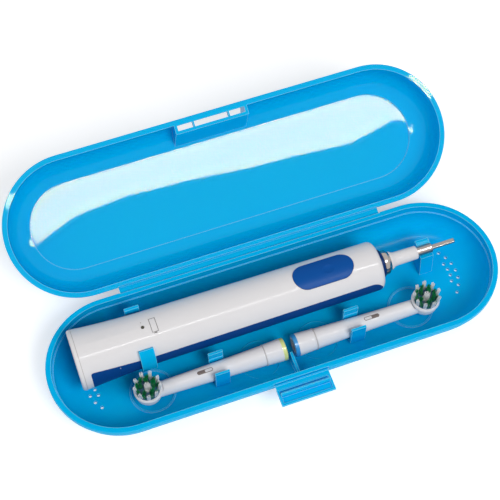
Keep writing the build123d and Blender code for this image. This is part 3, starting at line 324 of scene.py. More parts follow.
@dataclass(frozen=True)
class Finish:
    """A procedural material: its colour, its skin and how it takes light."""

    name: str
    base: Colour
    roughness: float = 0.3
    metallic: float = 0.0
    specular: float = 0.5
    specular_tint: Colour = WHITE
    subsurface: float = 0.0
    subsurface_radius: tuple[float, float, float] = (1.0, 1.0, 1.0)
    subsurface_scale: float = 0.001
    drift: float = 0.04
    drift_scale: float = 25.0
    grain_scale: float = 900.0
    grain_stretch: tuple[float, float, float] = (1.0, 1.0, 1.0)
    grain_depth: float = 0.05
    variation: float = 0.05
    handling: float = 0.0
    # Pale colour mixed in along sharp edges: a painted highlight for the light caught on the edges
    # of translucent mouldings.
    edge: Colour | None = None
    edge_highlight_share: float = 0.6
    edge_highlight_width: float = 0.0004

    def material(self) -> bpy.types.Material:
        """Returns a new material with this finish."""
        made, wiring = blank_material(self.name)
        made.diffuse_color = self.base
        skin = self.group(wiring, "grain", {
            "Scale": self.grain_scale,
            "Stretch": self.grain_stretch,
            "Roughness": self.roughness,
            "Variation": self.variation,
        })
        tone = self.group(wiring, "drift", {
            "Colour": self.base,
            "Scale": self.drift_scale,
            "Amount": self.drift,
        })
        rough = skin["Roughness"]
        if self.handling:
            marks = self.group(wiring, "handling", {"Amount": self.handling})
            rough = wiring.math("ADD", rough, marks["Mask"], clamp=True)
        shade = tone["Colour"]
        # Painted highlight: the edge colour is mixed into the base colour along sharp edges.
        if self.edge is not None:
            edges = self.group(wiring, "edge", {"Width": self.edge_highlight_width})
            share = wiring.math("MULTIPLY", edges["Mask"], self.edge_highlight_share)
            shade = wiring.mix(share, shade, self.edge)
        bump = wiring.add("ShaderNodeBump", {
            "Height": skin["Height"],
            "Strength": self.grain_depth,
            "Distance": BUMP_DISTANCE,
        })
        shader = wiring.add("ShaderNodeBsdfPrincipled", {
            "Base Color": shade,
            "Roughness": rough,
            "Normal": bump.outputs["Normal"],
            "Metallic": self.metallic,
            "Specular IOR Level": self.specular,
            "Specular Tint": self.specular_tint,
            "Subsurface Weight": self.subsurface,
            "Subsurface Radius": self.subsurface_radius,
            "Subsurface Scale": self.subsurface_scale,
        })
        wiring.add("ShaderNodeOutputMaterial", {"Surface": shader.outputs[0]})
        return made

    @staticmethod
    def group(wiring: Wiring, key: str, values: dict[str, Any]) -> bpy.types.bpy_prop_collection:
        """Places a shared group in a material, and returns the outputs of its node."""
        return wiring.add("ShaderNodeGroup", values, node_tree=SHARED_GROUPS[key]).outputs


# The edge colour of the blue mouldings is a painted highlight along their sharp edges.
LID_BLUE = Finish(
    "translucent_blue", colour(0.0, 0.45, 0.83), roughness=0.02, specular=0.12, subsurface=0.2,
    specular_tint=colour(0.94, 0.84, 0.32), subsurface_radius=(0.3, 1.0, 2.0),
    subsurface_scale=0.002, drift=0.03, drift_scale=14.0, grain_scale=500.0, grain_depth=0.0,
    variation=0.0, edge=colour(0.5, 0.86, 0.95), edge_highlight_share=0.7, edge_highlight_width=0.0005,
)


class Skin(Enum):
    """Each finish on the case, the handle and the heads."""

    CASE_LID = LID_BLUE
    # The tray keeps the lid's painted edge highlight.
    CASE_BLUE = replace(
        LID_BLUE, name="tray_blue", roughness=0.22, specular=0.035, grain_depth=0.02,
        variation=0.06, handling=0.05,
    )
    SHELL_WHITE = Finish(
        "gloss_white", colour(0.76, 0.745, 0.755), roughness=0.14, specular=0.07, subsurface=0.15,
        subsurface_scale=0.0015, drift=0.02, grain_depth=0.02, variation=0.05, handling=0.04,
    )
    GRIP_NAVY = Finish(
        "soft_navy", colour(0.003, 0.055, 0.24), roughness=0.42, specular=0.05, drift=0.08,
        grain_scale=2200.0, grain_depth=0.12, variation=0.08, handling=0.08,
    )
    BUTTON_BLUE = Finish(
        "button_blue", colour(0.004, 0.078, 0.33), roughness=0.36, specular=0.06, drift=0.06,
        grain_scale=2200.0, grain_depth=0.08, variation=0.08, handling=0.08,
    )
    COLLAR_CHROME = Finish(
        "bright_chrome", colour(0.42, 0.38, 0.35), roughness=0.16, metallic=1.0, drift=0.02,
        grain_scale=300.0, grain_depth=0.01, variation=0.06, handling=0.1,
    )
    SHAFT_STEEL = Finish(
        "ground_steel", colour(0.36, 0.32, 0.30), roughness=0.3, metallic=1.0, drift=0.06,
        grain_scale=700.0, grain_stretch=(0.05, 1.0, 1.0), grain_depth=0.12, variation=0.15,
        handling=0.1,
    )
    BRISTLE_WHITE = Finish(
        "nylon_white", colour(0.95, 0.96, 0.97), roughness=0.35, drift=0.06, drift_scale=900.0
    )
    BRISTLE_GREEN = Finish(
        "nylon_green", colour(0.0, 0.25, 0.07), roughness=0.3, drift=0.5, drift_scale=900.0
    )
    RING_LIME = Finish("ring_lime", colour(0.66, 0.72, 0.26), roughness=0.3, drift=0.03)
    RING_BLUE = Finish("ring_blue", colour(0.03, 0.28, 0.62), roughness=0.3, drift=0.03)
    FRAME_GREY = Finish(
        "carrier_grey", colour(0.04, 0.04, 0.045), roughness=0.55, drift=0.1, grain_depth=0.1
    )
    CELL_SLEEVE = Finish("cell_sleeve", colour(0.02, 0.2, 0.06), roughness=0.3, drift=0.06)
    MOTOR_CAN = Finish(
        "plated_can", colour(0.5, 0.5, 0.5), roughness=0.3, metallic=1.0, drift=0.05
    )
    BOARD_GREEN = Finish(
        "solder_mask", colour(0.004, 0.07, 0.025), roughness=0.35, drift=0.2, drift_scale=300.0
    )
    SWITCH_BLACK = Finish("switch_black", colour(0.012, 0.012, 0.013), roughness=0.45)
    COIL_COPPER = Finish(
        "coil_copper", colour(0.6, 0.2, 0.07), roughness=0.35, metallic=1.0, grain_scale=1500.0,
        grain_stretch=(1.0, 0.05, 0.05), grain_depth=0.4,
    )
    BUSH_BRONZE = Finish(
        "bush_bronze", colour(0.45, 0.25, 0.1), roughness=0.45, metallic=1.0, drift=0.12
    )
    SEAL_BLACK = Finish("seal_black", colour(0.01, 0.01, 0.01), roughness=0.6, grain_depth=0.1)
    LIGHT_GUIDE = Finish("light_guide", colour(0.05, 0.045, 0.03), roughness=0.12, drift=0.05)
    ICON_GREY = Finish("icon_grey", colour(0.16, 0.15, 0.15), roughness=0.4, drift=0.04)
    # Painted shade: a dark sheet under the tufts stands for the shade between them.
    TUFT_BED = Finish(
        "tuft_bed", colour(0.01, 0.10, 0.20), roughness=0.5, drift=0.2, drift_scale=400.0
    )
    BAND_NAVY = Finish(
        "band_navy", colour(0.002, 0.03, 0.14), roughness=0.35, specular=0.1, drift=0.05
    )
    SEAM_GREY = Finish("seam_grey", colour(0.5, 0.48, 0.47), roughness=0.5, drift=0.05)
    # Painted shade: the hollow inside each neck's slot.
    SLOT_SHADE = Finish("slot_shade", colour(0.13, 0.10, 0.09), roughness=0.5, drift=0.06)
    SLOT_PALE = Finish("slot_pale", colour(0.66, 0.65, 0.66), roughness=0.35, drift=0.03)


NODE_SKINS: dict[Skin, tuple[str, ...]] = {
    Skin.CASE_LID: ("lid_shell",),
    Skin.CASE_BLUE: (
        "base_shell", "hinge_strip", "latch_flap", "handle_clip", "shaft_rest", "head_clip_left",
        "head_clip_right",
    ),
    Skin.SHELL_WHITE: (
        "handle_housing", "base_cap", "shaft_sleeve", "head_neck_left", "head_neck_right",
        "head_disc_left", "head_disc_right", "drive_link_left", "drive_link_right",
    ),
    Skin.GRIP_NAVY: ("grip_panel", "neck_ring"),
    Skin.BUTTON_BLUE: ("power_button",),
    Skin.COLLAR_CHROME: ("neck_collar",),
    Skin.SHAFT_STEEL: ("drive_shaft", "shaft_fork", "motor_crank"),
    Skin.RING_LIME: ("head_ring_left",),
    Skin.RING_BLUE: ("head_ring_right",),
    Skin.FRAME_GREY: ("chassis",),
    Skin.CELL_SLEEVE: ("battery_cell",),
    Skin.MOTOR_CAN: ("drive_motor",),
    Skin.BOARD_GREEN: ("circuit_board",),
    Skin.SWITCH_BLACK: ("push_switch",),
    Skin.COIL_COPPER: ("charging_coil",),
    Skin.BUSH_BRONZE: ("rear_bush", "front_bush"),
    Skin.SEAL_BLACK: ("cap_seal",),
    Skin.LIGHT_GUIDE: ("indicator_light",),
    Skin.BRISTLE_WHITE: ("tufts_white_left", "tufts_white_right"),
    Skin.BRISTLE_GREEN: ("tufts_green_left", "tufts_green_right"),
}


@dataclass
class FinishRack:
    """Builds each finish once and dresses nodes and pieces in it."""

    made: dict[Skin, bpy.types.Material] = field(default_factory=dict)

    def get(self, skin: Skin) -> bpy.types.Material:
        """Returns the material of a finish, built on first use."""
        if skin not in self.made:
            self.made[skin] = skin.value.material()
        return self.made[skin]

    def settle(self, mesh: bpy.types.Mesh, skin: Skin, body: str) -> bpy.types.Object:
        """Makes a piece of a mesh and lets it ride on a body.

        Args:
            mesh: The piece's mesh with its material, which also gives the piece its name.
            skin: Its finish; not used.
            body: The body that it moves with.

        Returns:
            The piece.
        """
        piece = add_object(mesh.name, mesh)
        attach(piece, body)
        log.info("%s on %s: %d faces", piece.name, body, len(mesh.polygons))
        return piece

    def build(
        self, name: str, points: list[Point], faces: list[Face], skin: Skin, body: str,
        smooth: bool = True,
    ) -> bpy.types.Object:
        """Makes a piece from points in metres and lets it ride on a body.

        Args:
            name: Name of the piece.
            points: Its points.
            faces: Its faces.
            skin: Its finish.
            body: The body that it moves with.
            smooth: Whether it is shaded smooth.

        Returns:
            The piece.
        """
        mesh = bpy.data.meshes.new(name)
        mesh.from_pydata(points, [], faces)
        mesh.materials.append(self.get(skin))
        if smooth:
            mesh.shade_smooth()
        return self.settle(mesh, skin, body)

    def dress_nodes(self) -> None:
        """Gives every node of the frame its finish."""
        for skin, names in NODE_SKINS.items():
            for name in names:
                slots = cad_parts[name].data.materials
                slots.clear()
                slots.append(self.get(skin))
            log.info("%s on %s", skin.value.name, ", ".join(names))


# ---------------------------------------------------- bristles

# A filament's body and tip as shares of its length, and its tip's end as a share of its radius.
BODY_SHARE, TIP_SHARE, TIP_TAPER = 0.94, 0.06, 0.4
FILAMENT_SIDES = 6
SHORTEST, LONGEST = 0.93, 1.0
TUFT_SIDES = 12
ROOT_DENSITY = 9.0e7
UP = (0.0, 0.0, 1.0)


def tuft_group() -> bpy.types.NodeTree:
    """Returns the group that grows a ring of tufts, each a bundle of round-tipped filaments."""
    wiring = new_group(
        "tuft_ring",
        "GeometryNodeTree",
        [
            ("Foot", VECTOR, (0.0, 0.0, 0.0)), ("Count", INTEGER, 9),
            ("Ring Radius", FLOAT, 0.0055), ("Turn", FLOAT, 0.0),
            ("Tuft Radius", FLOAT, 0.001), ("Spacing", FLOAT, 0.0003),
            ("Filament Radius", FLOAT, 0.00012), ("Length", FLOAT, 0.005), ("Lean", FLOAT, 0.0),
            ("Flare", FLOAT, 0.0), ("Spread", FLOAT, 0.05), ("Seed", INTEGER, 1),
            ("Material", MATERIAL, None),
        ],
        [("Geometry", GEOMETRY)],
    )
    start = wiring.add("NodeGroupInput").outputs
    roots = plant_roots(wiring, start)
    turned = point_filaments(wiring, start)
    filament = shape_filament(wiring, start)
    height = wiring.add(
        "FunctionNodeRandomValue", {2: SHORTEST, 3: LONGEST, "Seed": start["Seed"]},
        data_type="FLOAT",
    )
    size = wiring.add("ShaderNodeCombineXYZ", {0: 1.0, 1: 1.0, 2: height.outputs[1]})
    grown = wiring.add("GeometryNodeInstanceOnPoints", {
        "Points": roots, "Instance": filament, "Rotation": turned, "Scale": size.outputs[0],
    })
    grown = wiring.add("GeometryNodeRealizeInstances", {0: grown.outputs[0]})
    grown = wiring.add(
        "GeometryNodeTransform", {"Geometry": grown.outputs[0], "Translation": start["Foot"]}
    )
    dressed = wiring.add(
        "GeometryNodeSetMaterial", {"Geometry": grown.outputs[0], "Material": start["Material"]}
    )
    wiring.add("NodeGroupOutput", {"Geometry": dressed.outputs[0]})
    return wiring.tree


def plant_roots(wiring: Wiring, start: Any) -> bpy.types.NodeSocket:
    """Returns the points in a ring of round patches from which the filaments grow."""
    step = wiring.math("DIVIDE", 2.0 * math.pi, start["Count"])
    index = wiring.add("GeometryNodeInputIndex").outputs[0]
    angle = wiring.math("ADD", wiring.math("MULTIPLY", index, step), start["Turn"])
    along = wiring.math("MULTIPLY", wiring.math("COSINE", angle), start["Ring Radius"])
    across = wiring.math("MULTIPLY", wiring.math("SINE", angle), start["Ring Radius"])
    centre = wiring.add("ShaderNodeCombineXYZ", {0: along, 1: across})
    centres = wiring.add(
        "GeometryNodePoints", {"Count": start["Count"], "Position": centre.outputs[0]}
    )
    patch = wiring.add(
        "GeometryNodeMeshCircle", {"Vertices": TUFT_SIDES, "Radius": start["Tuft Radius"]},
        fill_type="NGON",
    )
    beds = wiring.add(
        "GeometryNodeInstanceOnPoints", {"Points": centres.outputs[0], "Instance": patch.outputs[0]}
    )
    beds = wiring.add("GeometryNodeRealizeInstances", {0: beds.outputs[0]})
    return wiring.add("GeometryNodeDistributePointsOnFaces", {
        "Mesh": beds.outputs[0], "Distance Min": start["Spacing"], "Density Max": ROOT_DENSITY,
        "Seed": start["Seed"],
    }, distribute_method="POISSON").outputs[0]


def point_filaments(wiring: Wiring, start: Any) -> bpy.types.NodeSocket:
    """Returns the filaments' turn: they lean round the ring, flare outwards and stray a little."""
    place = wiring.add("GeometryNodeInputPosition").outputs[0]
    sideways = wiring.vector("NORMALIZE", {0: wiring.vector("CROSS_PRODUCT", {0: UP, 1: place})})
    leaning = wiring.vector("SCALE", {0: sideways, "Scale": start["Lean"]})
    outwards = wiring.vector("NORMALIZE", {0: place})
    flaring = wiring.vector("SCALE", {0: outwards, "Scale": start["Flare"]})
    leaning = wiring.vector("ADD", {0: leaning, 1: flaring})
    stray = wiring.add("FunctionNodeRandomValue", {
        0: (-1.0, -1.0, 0.0), 1: (1.0, 1.0, 0.0), "Seed": start["Seed"],
    }, data_type="FLOAT_VECTOR").outputs[0]
    stray = wiring.vector("SCALE", {0: stray, "Scale": start["Spread"]})
    heading = wiring.vector("ADD", {0: leaning, 1: stray})
    heading = wiring.vector("ADD", {0: heading, 1: UP})
    return wiring.add("FunctionNodeAlignRotationToVector", {"Vector": heading}, axis="Z").outputs[0]


def shape_filament(wiring: Wiring, start: Any) -> bpy.types.NodeSocket:
    """Returns one upright filament with a tapered tip."""
    radius = start["Filament Radius"]
    body_length = wiring.math("MULTIPLY", start["Length"], BODY_SHARE)
    tip_length = wiring.math("MULTIPLY", start["Length"], TIP_SHARE)
    tip_radius = wiring.math("MULTIPLY", radius, TIP_TAPER)
    foot = {"Vertices": FILAMENT_SIDES, "Radius Bottom": radius}
    body = wiring.add(
        "GeometryNodeMeshCone", {**foot, "Radius Top": radius, "Depth": body_length},
        fill_type="NONE",
    ).outputs[0]
    tip = wiring.add(
        "GeometryNodeMeshCone", {**foot, "Radius Top": tip_radius, "Depth": tip_length},
        fill_type="NGON",
    ).outputs[0]
    lift = wiring.add("ShaderNodeCombineXYZ", {2: body_length}).outputs[0]
    tip = wiring.add("GeometryNodeTransform", {"Geometry": tip, "Translation": lift}).outputs[0]
    filament = wiring.add("GeometryNodeJoinGeometry")
    wiring.tree.links.new(tip, filament.inputs[0])
    wiring.tree.links.new(body, filament.inputs[0])
    return filament.outputs[0]


@dataclass(frozen=True)
class Tufts:
    """A ring of equal tufts on a brush head; lengths in metres."""

    name: str
    skin: Skin
    count: int
    ring: float
    radius: float
    length: float
    lean: float = 0.0
    flare: float = 0.0
    spread: float = 0.03


TUFT_RINGS: tuple[Tufts, ...] = (
    Tufts(
        "bristles_outer", Skin.BRISTLE_WHITE, 9, 0.0056, 0.00078, 0.0064, flare=0.14, spread=0.02
    ),
    Tufts("bristles_centre", Skin.BRISTLE_WHITE, 1, 0.0, 0.0015, 0.0058, spread=0.05),
    Tufts(
        "bristles_green", Skin.BRISTLE_GREEN, 5, 0.0033, 0.00095, 0.0056, lean=0.16, flare=0.05,
        spread=0.07,
    ),
    Tufts(
        "bristles_green_low", Skin.BRISTLE_GREEN, 9, 0.0050, 0.00062, 0.0050, lean=-0.14,
        flare=0.1, spread=0.07,
    ),
)
FILAMENT_RADIUS = 0.00013
FILAMENT_SPACING = 0.00029
RING_TURN = 0.35
FIRST_SEED = 11
# The sheet of painted shade under each head's tufts: its sides, radius and lift.
SHADE_SIDES = 40
SHADE_RADIUS = 0.0061
SHADE_LIFT = 0.00006


@dataclass
class BrushDresser:
    """Grows the filaments of both brush heads in the place of the plain tufts."""

    finishes: FinishRack
    tree: bpy.types.NodeTree = field(default_factory=tuft_group)

    def grow(self, side: Side) -> None:
        """Grows the tufts of one head and lets them ride on its disc."""
        low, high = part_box(f"tufts_white_{side.value}")
        foot = Vector(((low.x + high.x) / 2, (low.y + high.y) / 2, low.z))
        self.lay_tuft_shade(side, foot)
        turn = math.pi if side is Side.LEFT else 0.0
        for number, ring in enumerate(TUFT_RINGS):
            mesh = self.evaluate({
                "Foot": foot,
                "Count": ring.count,
                "Ring Radius": ring.ring,
                "Turn": turn + number * RING_TURN,
                "Tuft Radius": ring.radius,
                "Spacing": FILAMENT_SPACING,
                "Filament Radius": FILAMENT_RADIUS,
                "Length": ring.length,
                "Lean": ring.lean,
                "Flare": ring.flare,
                "Spread": ring.spread,
                "Seed": FIRST_SEED + number,
                "Material": self.finishes.get(ring.skin),
            })
            mesh.name = f"{ring.name}_{side.value}"
            piece = self.finishes.settle(mesh, ring.skin, f"disc_{side.value}")
            if ring.name == "bristles_outer":
                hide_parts(f"tufts_white_{side.value}")
            if ring.name == "bristles_green":
                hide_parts(f"tufts_green_{side.value}")

    def lay_tuft_shade(self, side: Side, foot: Vector) -> None:
        """Lays a dark disc of painted shade on a head's disc, where the tufts stand and shade falls
        between them.

        Args:
            side: Which head.
            foot: The middle of the disc's top, in metres.
        """
        points = [
            tuple(foot + Vector((x * SHADE_RADIUS, y * SHADE_RADIUS, SHADE_LIFT)))
            for x, y in circle(SHADE_SIDES)
        ]
        name, body = f"tuft_bed_{side.value}", f"disc_{side.value}"
        faces = [tuple(range(SHADE_SIDES))]
        self.finishes.build(name, points, faces, Skin.TUFT_BED, body, smooth=False)

    def evaluate(self, values: dict[str, Any]) -> bpy.types.Mesh:
        """Runs the group on an empty object and returns what it makes.

        Args:
            values: The group's inputs by name.

        Returns:
            A plain mesh with its material.
        """
        host = add_object("bristle_host", bpy.data.meshes.new("bristle_host"))
        modifier = host.modifiers.new("tufts", "NODES")
        modifier.node_group = self.tree
        for item in self.tree.interface.items_tree:
            if item.in_out == "INPUT" and item.name in values:
                modifier[item.identifier] = values[item.name]
        graph = bpy.context.evaluated_depsgraph_get()
        mesh = bpy.data.meshes.new_from_object(host.evaluated_get(graph), depsgraph=graph)
        host.modifiers.clear()
        bpy.data.objects.remove(host)
        return mesh


# ------------------------------------------------ turned parts


@dataclass(frozen=True)
class TurnedPart:
    """A part turned about an axis along X; lengths in millimetres.

    Its outline is (x, radius), and its axis (y, z).
    """

    name: str
    stands_for: str | None
    skin: Skin
    outline: tuple[tuple[float, float], ...]
    body: str = "handle"
    axis: tuple[float, float] = HANDLE_AXIS


NECK_PARTS: tuple[TurnedPart, ...] = (
    TurnedPart("neck_band", "neck_ring", Skin.BAND_NAVY, (
        (57.2, 6.3), (57.2, 7.3), (59.7, 7.3), (60.1, 7.15), (60.4, 6.8), (60.4, 5.6),
    )),
    TurnedPart("bright_collar", "neck_collar", Skin.COLLAR_CHROME, (
        (60.2, 5.6), (60.3, 6.1), (60.7, 6.4), (61.4, 6.5), (62.3, 6.45), (63.0, 6.2), (63.4, 5.7),
        (63.6, 5.1), (64.3, 5.0), (64.5, 4.6),
    )),
    TurnedPart("bell_sleeve", "shaft_sleeve", Skin.SHELL_WHITE, (
        (64.3, 4.2), (64.4, 4.75), (64.9, 4.8), (65.5, 4.55), (66.2, 4.0), (67.2, 3.7),
        (69.0, 3.6), (79.1, 3.5), (79.4, 3.35), (79.5, 3.0), (79.5, 2.45),
    )),
)
SEAM_LINES: tuple[TurnedPart, ...] = (
    TurnedPart("seam_left", None, Skin.SEAM_GREY, (
        (-11.75, 5.35), (-11.7, 5.52), (-11.45, 5.6), (-11.2, 5.52), (-11.15, 5.35),
    ), "head_left", HEAD_AXIS),
    TurnedPart("seam_right", None, Skin.SEAM_GREY, (
        (15.15, 5.35), (15.2, 5.52), (15.45, 5.6), (15.7, 5.52), (15.75, 5.35),
    ), "head_right", HEAD_AXIS),
)
CAP_SEAM_OUTLINE = ((-0.2, -0.1), (-0.15, 0.05), (0.1, 0.06), (0.15, -0.1))
TURNED_SIDES = 72


@dataclass
class Lathe:
    """Turns the parts of the handle's neck and the fine seam lines."""

    finishes: FinishRack

    def turn(self, part: TurnedPart) -> None:
        """Turns one part, and lets it stand for its plain solid where it has one."""
        axis_y, axis_z = part.axis
        points = [
            (x * MM, (axis_y + radius * across) * MM, (axis_z + radius * up) * MM)
            for x, radius in part.outline
            for across, up in circle(TURNED_SIDES)
        ]
        faces = tube_faces(len(part.outline), TURNED_SIDES)
        piece = self.finishes.build(part.name, points, faces, part.skin, part.body)
        if part.stands_for:
            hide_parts(part.stands_for)

    def cap_seam(self) -> None:
        """Marks the joint between the handle's housing and its rear cap with a fine line."""
        low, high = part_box("base_cap")
        radius = (high.y - low.y) / 2 / MM
        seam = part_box("handle_housing")[0].x / MM
        outline = tuple((seam + along, radius + rise) for along, rise in CAP_SEAM_OUTLINE)
        self.turn(TurnedPart("cap_seam_line", None, Skin.SEAM_GREY, outline))


# ------------------------------------------- prints and inlays


def handle_skin(x: float) -> float:
    """Returns the handle's radius at x, in millimetres.

    The handle is a straight taper with a flare towards the rear.
    """
    behind = max(0.0, WAIST_X - x)
    straight = WAIST_RADIUS + HANDLE_TAPER * (WAIST_X - x)
    return straight + FLARE_CURVE - math.sqrt(FLARE_CURVE**2 - behind**2)


@dataclass(frozen=True)
class Barrel:
    """A barrel along X that thin prints are wrapped on; lengths in millimetres."""

    middle_y: float
    middle_z: float
    start: float
    radius: float
    taper: float

    def point(self, x: float, y: float, lift: float) -> Vector:
        """Returns the place, in metres, over (x, y) at a height of lift over the barrel's skin."""
        radius = self.radius - self.taper * abs(x - self.start) + lift
        across = y - self.middle_y
        return Vector((x, y, self.middle_z + math.sqrt(radius**2 - across**2))) * MM


# Prints on the handle; lengths in millimetres.
MARK_BARREL = Barrel(*HANDLE_AXIS, WAIST_X, 13.46, -0.004)
BATTERY_X = (-62.2, -58.9)
BATTERY_Y = (4.7, 12.2)
BATTERY_LINE = 0.28
BATTERY_KNOB_INSET = 0.9
BATTERY_KNOB_LENGTH = 0.7
INDICATOR_Y = 8.07
DOTS = ((-66.5, -65.9, INDICATOR_Y - 3.3, 0.3), (-66.3, -65.9, INDICATOR_Y + 3.4, 0.2))

# The slot in each neck, placed along the neck from its ring; lengths in millimetres.
NECK_RADIUS = 4.48
NECK_TAPER = 0.0237
NECK_START = 38.0
SLOT_NEAR, SLOT_MIDDLE, SLOT_FAR = 37.9, 42.0, 46.2
SLOT_HALF = 1.0
PALE_HALF = 0.7
PALE_INSET = 0.35
PALE_LIFT = 0.08
# Each neck's direction along X and its ring's x.
NECK_ENDS = {Side.LEFT: (-1.0, -0.5), Side.RIGHT: (1.0, 3.9)}

# The ribs in the tray's floor; lengths in millimetres.
RIB_MIDDLES = ((Side.LEFT, -13.6, -13.8), (Side.RIGHT, 17.7, -13.4))
RIB_RADIUS = 10.3
RIB_FLOOR_Z = 1.5
RIB_RISE = 0.45
RIB_HALF_WIDTH = 0.3
RIB_TOP_SHARE = 0.6
RIB_SPACE = 0.06
RIB_SIDES = 72

# How finely strips are divided, their height over the skin and their least half width.
STRIP_PARTS = 6
LOZENGE_STEPS = 20
STRIP_LIFT = 0.04
LEAST_REACH = 0.02


@dataclass(frozen=True)
class GripTail:
    """The rear of the soft grip; lengths in millimetres.

    Its upper edge climbs a little and ends in a tight corner.
    """

    start: float = -96.3
    end: float = WAIST_X
    corner: float = 1.4
    edge_y: float = -3.95
    overlap_x: float = -82.0
    foot_height: float = 4.1
    lift: float = 0.08
    crowding: float = 1.6
    least_arc: float = 0.01
    steps: int = 60
    across: int = 24

    def arc(self, x: float, radius: float) -> tuple[float, float]:
        """Returns the angles of the tail's upper edge and of its foot, from straight up."""
        inside = max(0.0, self.corner - (x - self.start))
        drop = self.corner - math.sqrt(self.corner**2 - inside**2)
        reach = min(1.0, (HANDLE_AXIS[0] - self.edge_y) / radius)
        top = math.asin(reach) + drop / radius
        foot = math.pi if x < self.overlap_x else math.acos(self.foot_height / radius)
        return top, max(foot, top + self.least_arc)

    def points(self, side: float) -> list[Point]:
        """Returns the points of one side of the tail, in metres."""
        axis_y, axis_z = HANDLE_AXIS
        made: list[Point] = []
        for step in range(self.steps + 1):
            x = self.start + (self.end - self.start) * (step / self.steps) ** self.crowding
            radius = handle_skin(x)
            top, foot = self.arc(x, radius)
            reach = radius + self.lift
            for part in range(self.across + 1):
                angle = top + (foot - top) * part / self.across
                y = axis_y + side * reach * math.sin(angle)
                z = axis_z + reach * math.cos(angle)
                made.append((x * MM, y * MM, z * MM))
        return made

    def faces(self, base: int) -> list[Face]:
        """Returns the faces of one side, whose first point is number base."""
        row = self.across + 1
        firsts = (
            base + step * row + part for step in range(self.steps) for part in range(self.across)
        )
        return [(first, first + 1, first + row + 1, first + row) for first in firsts]


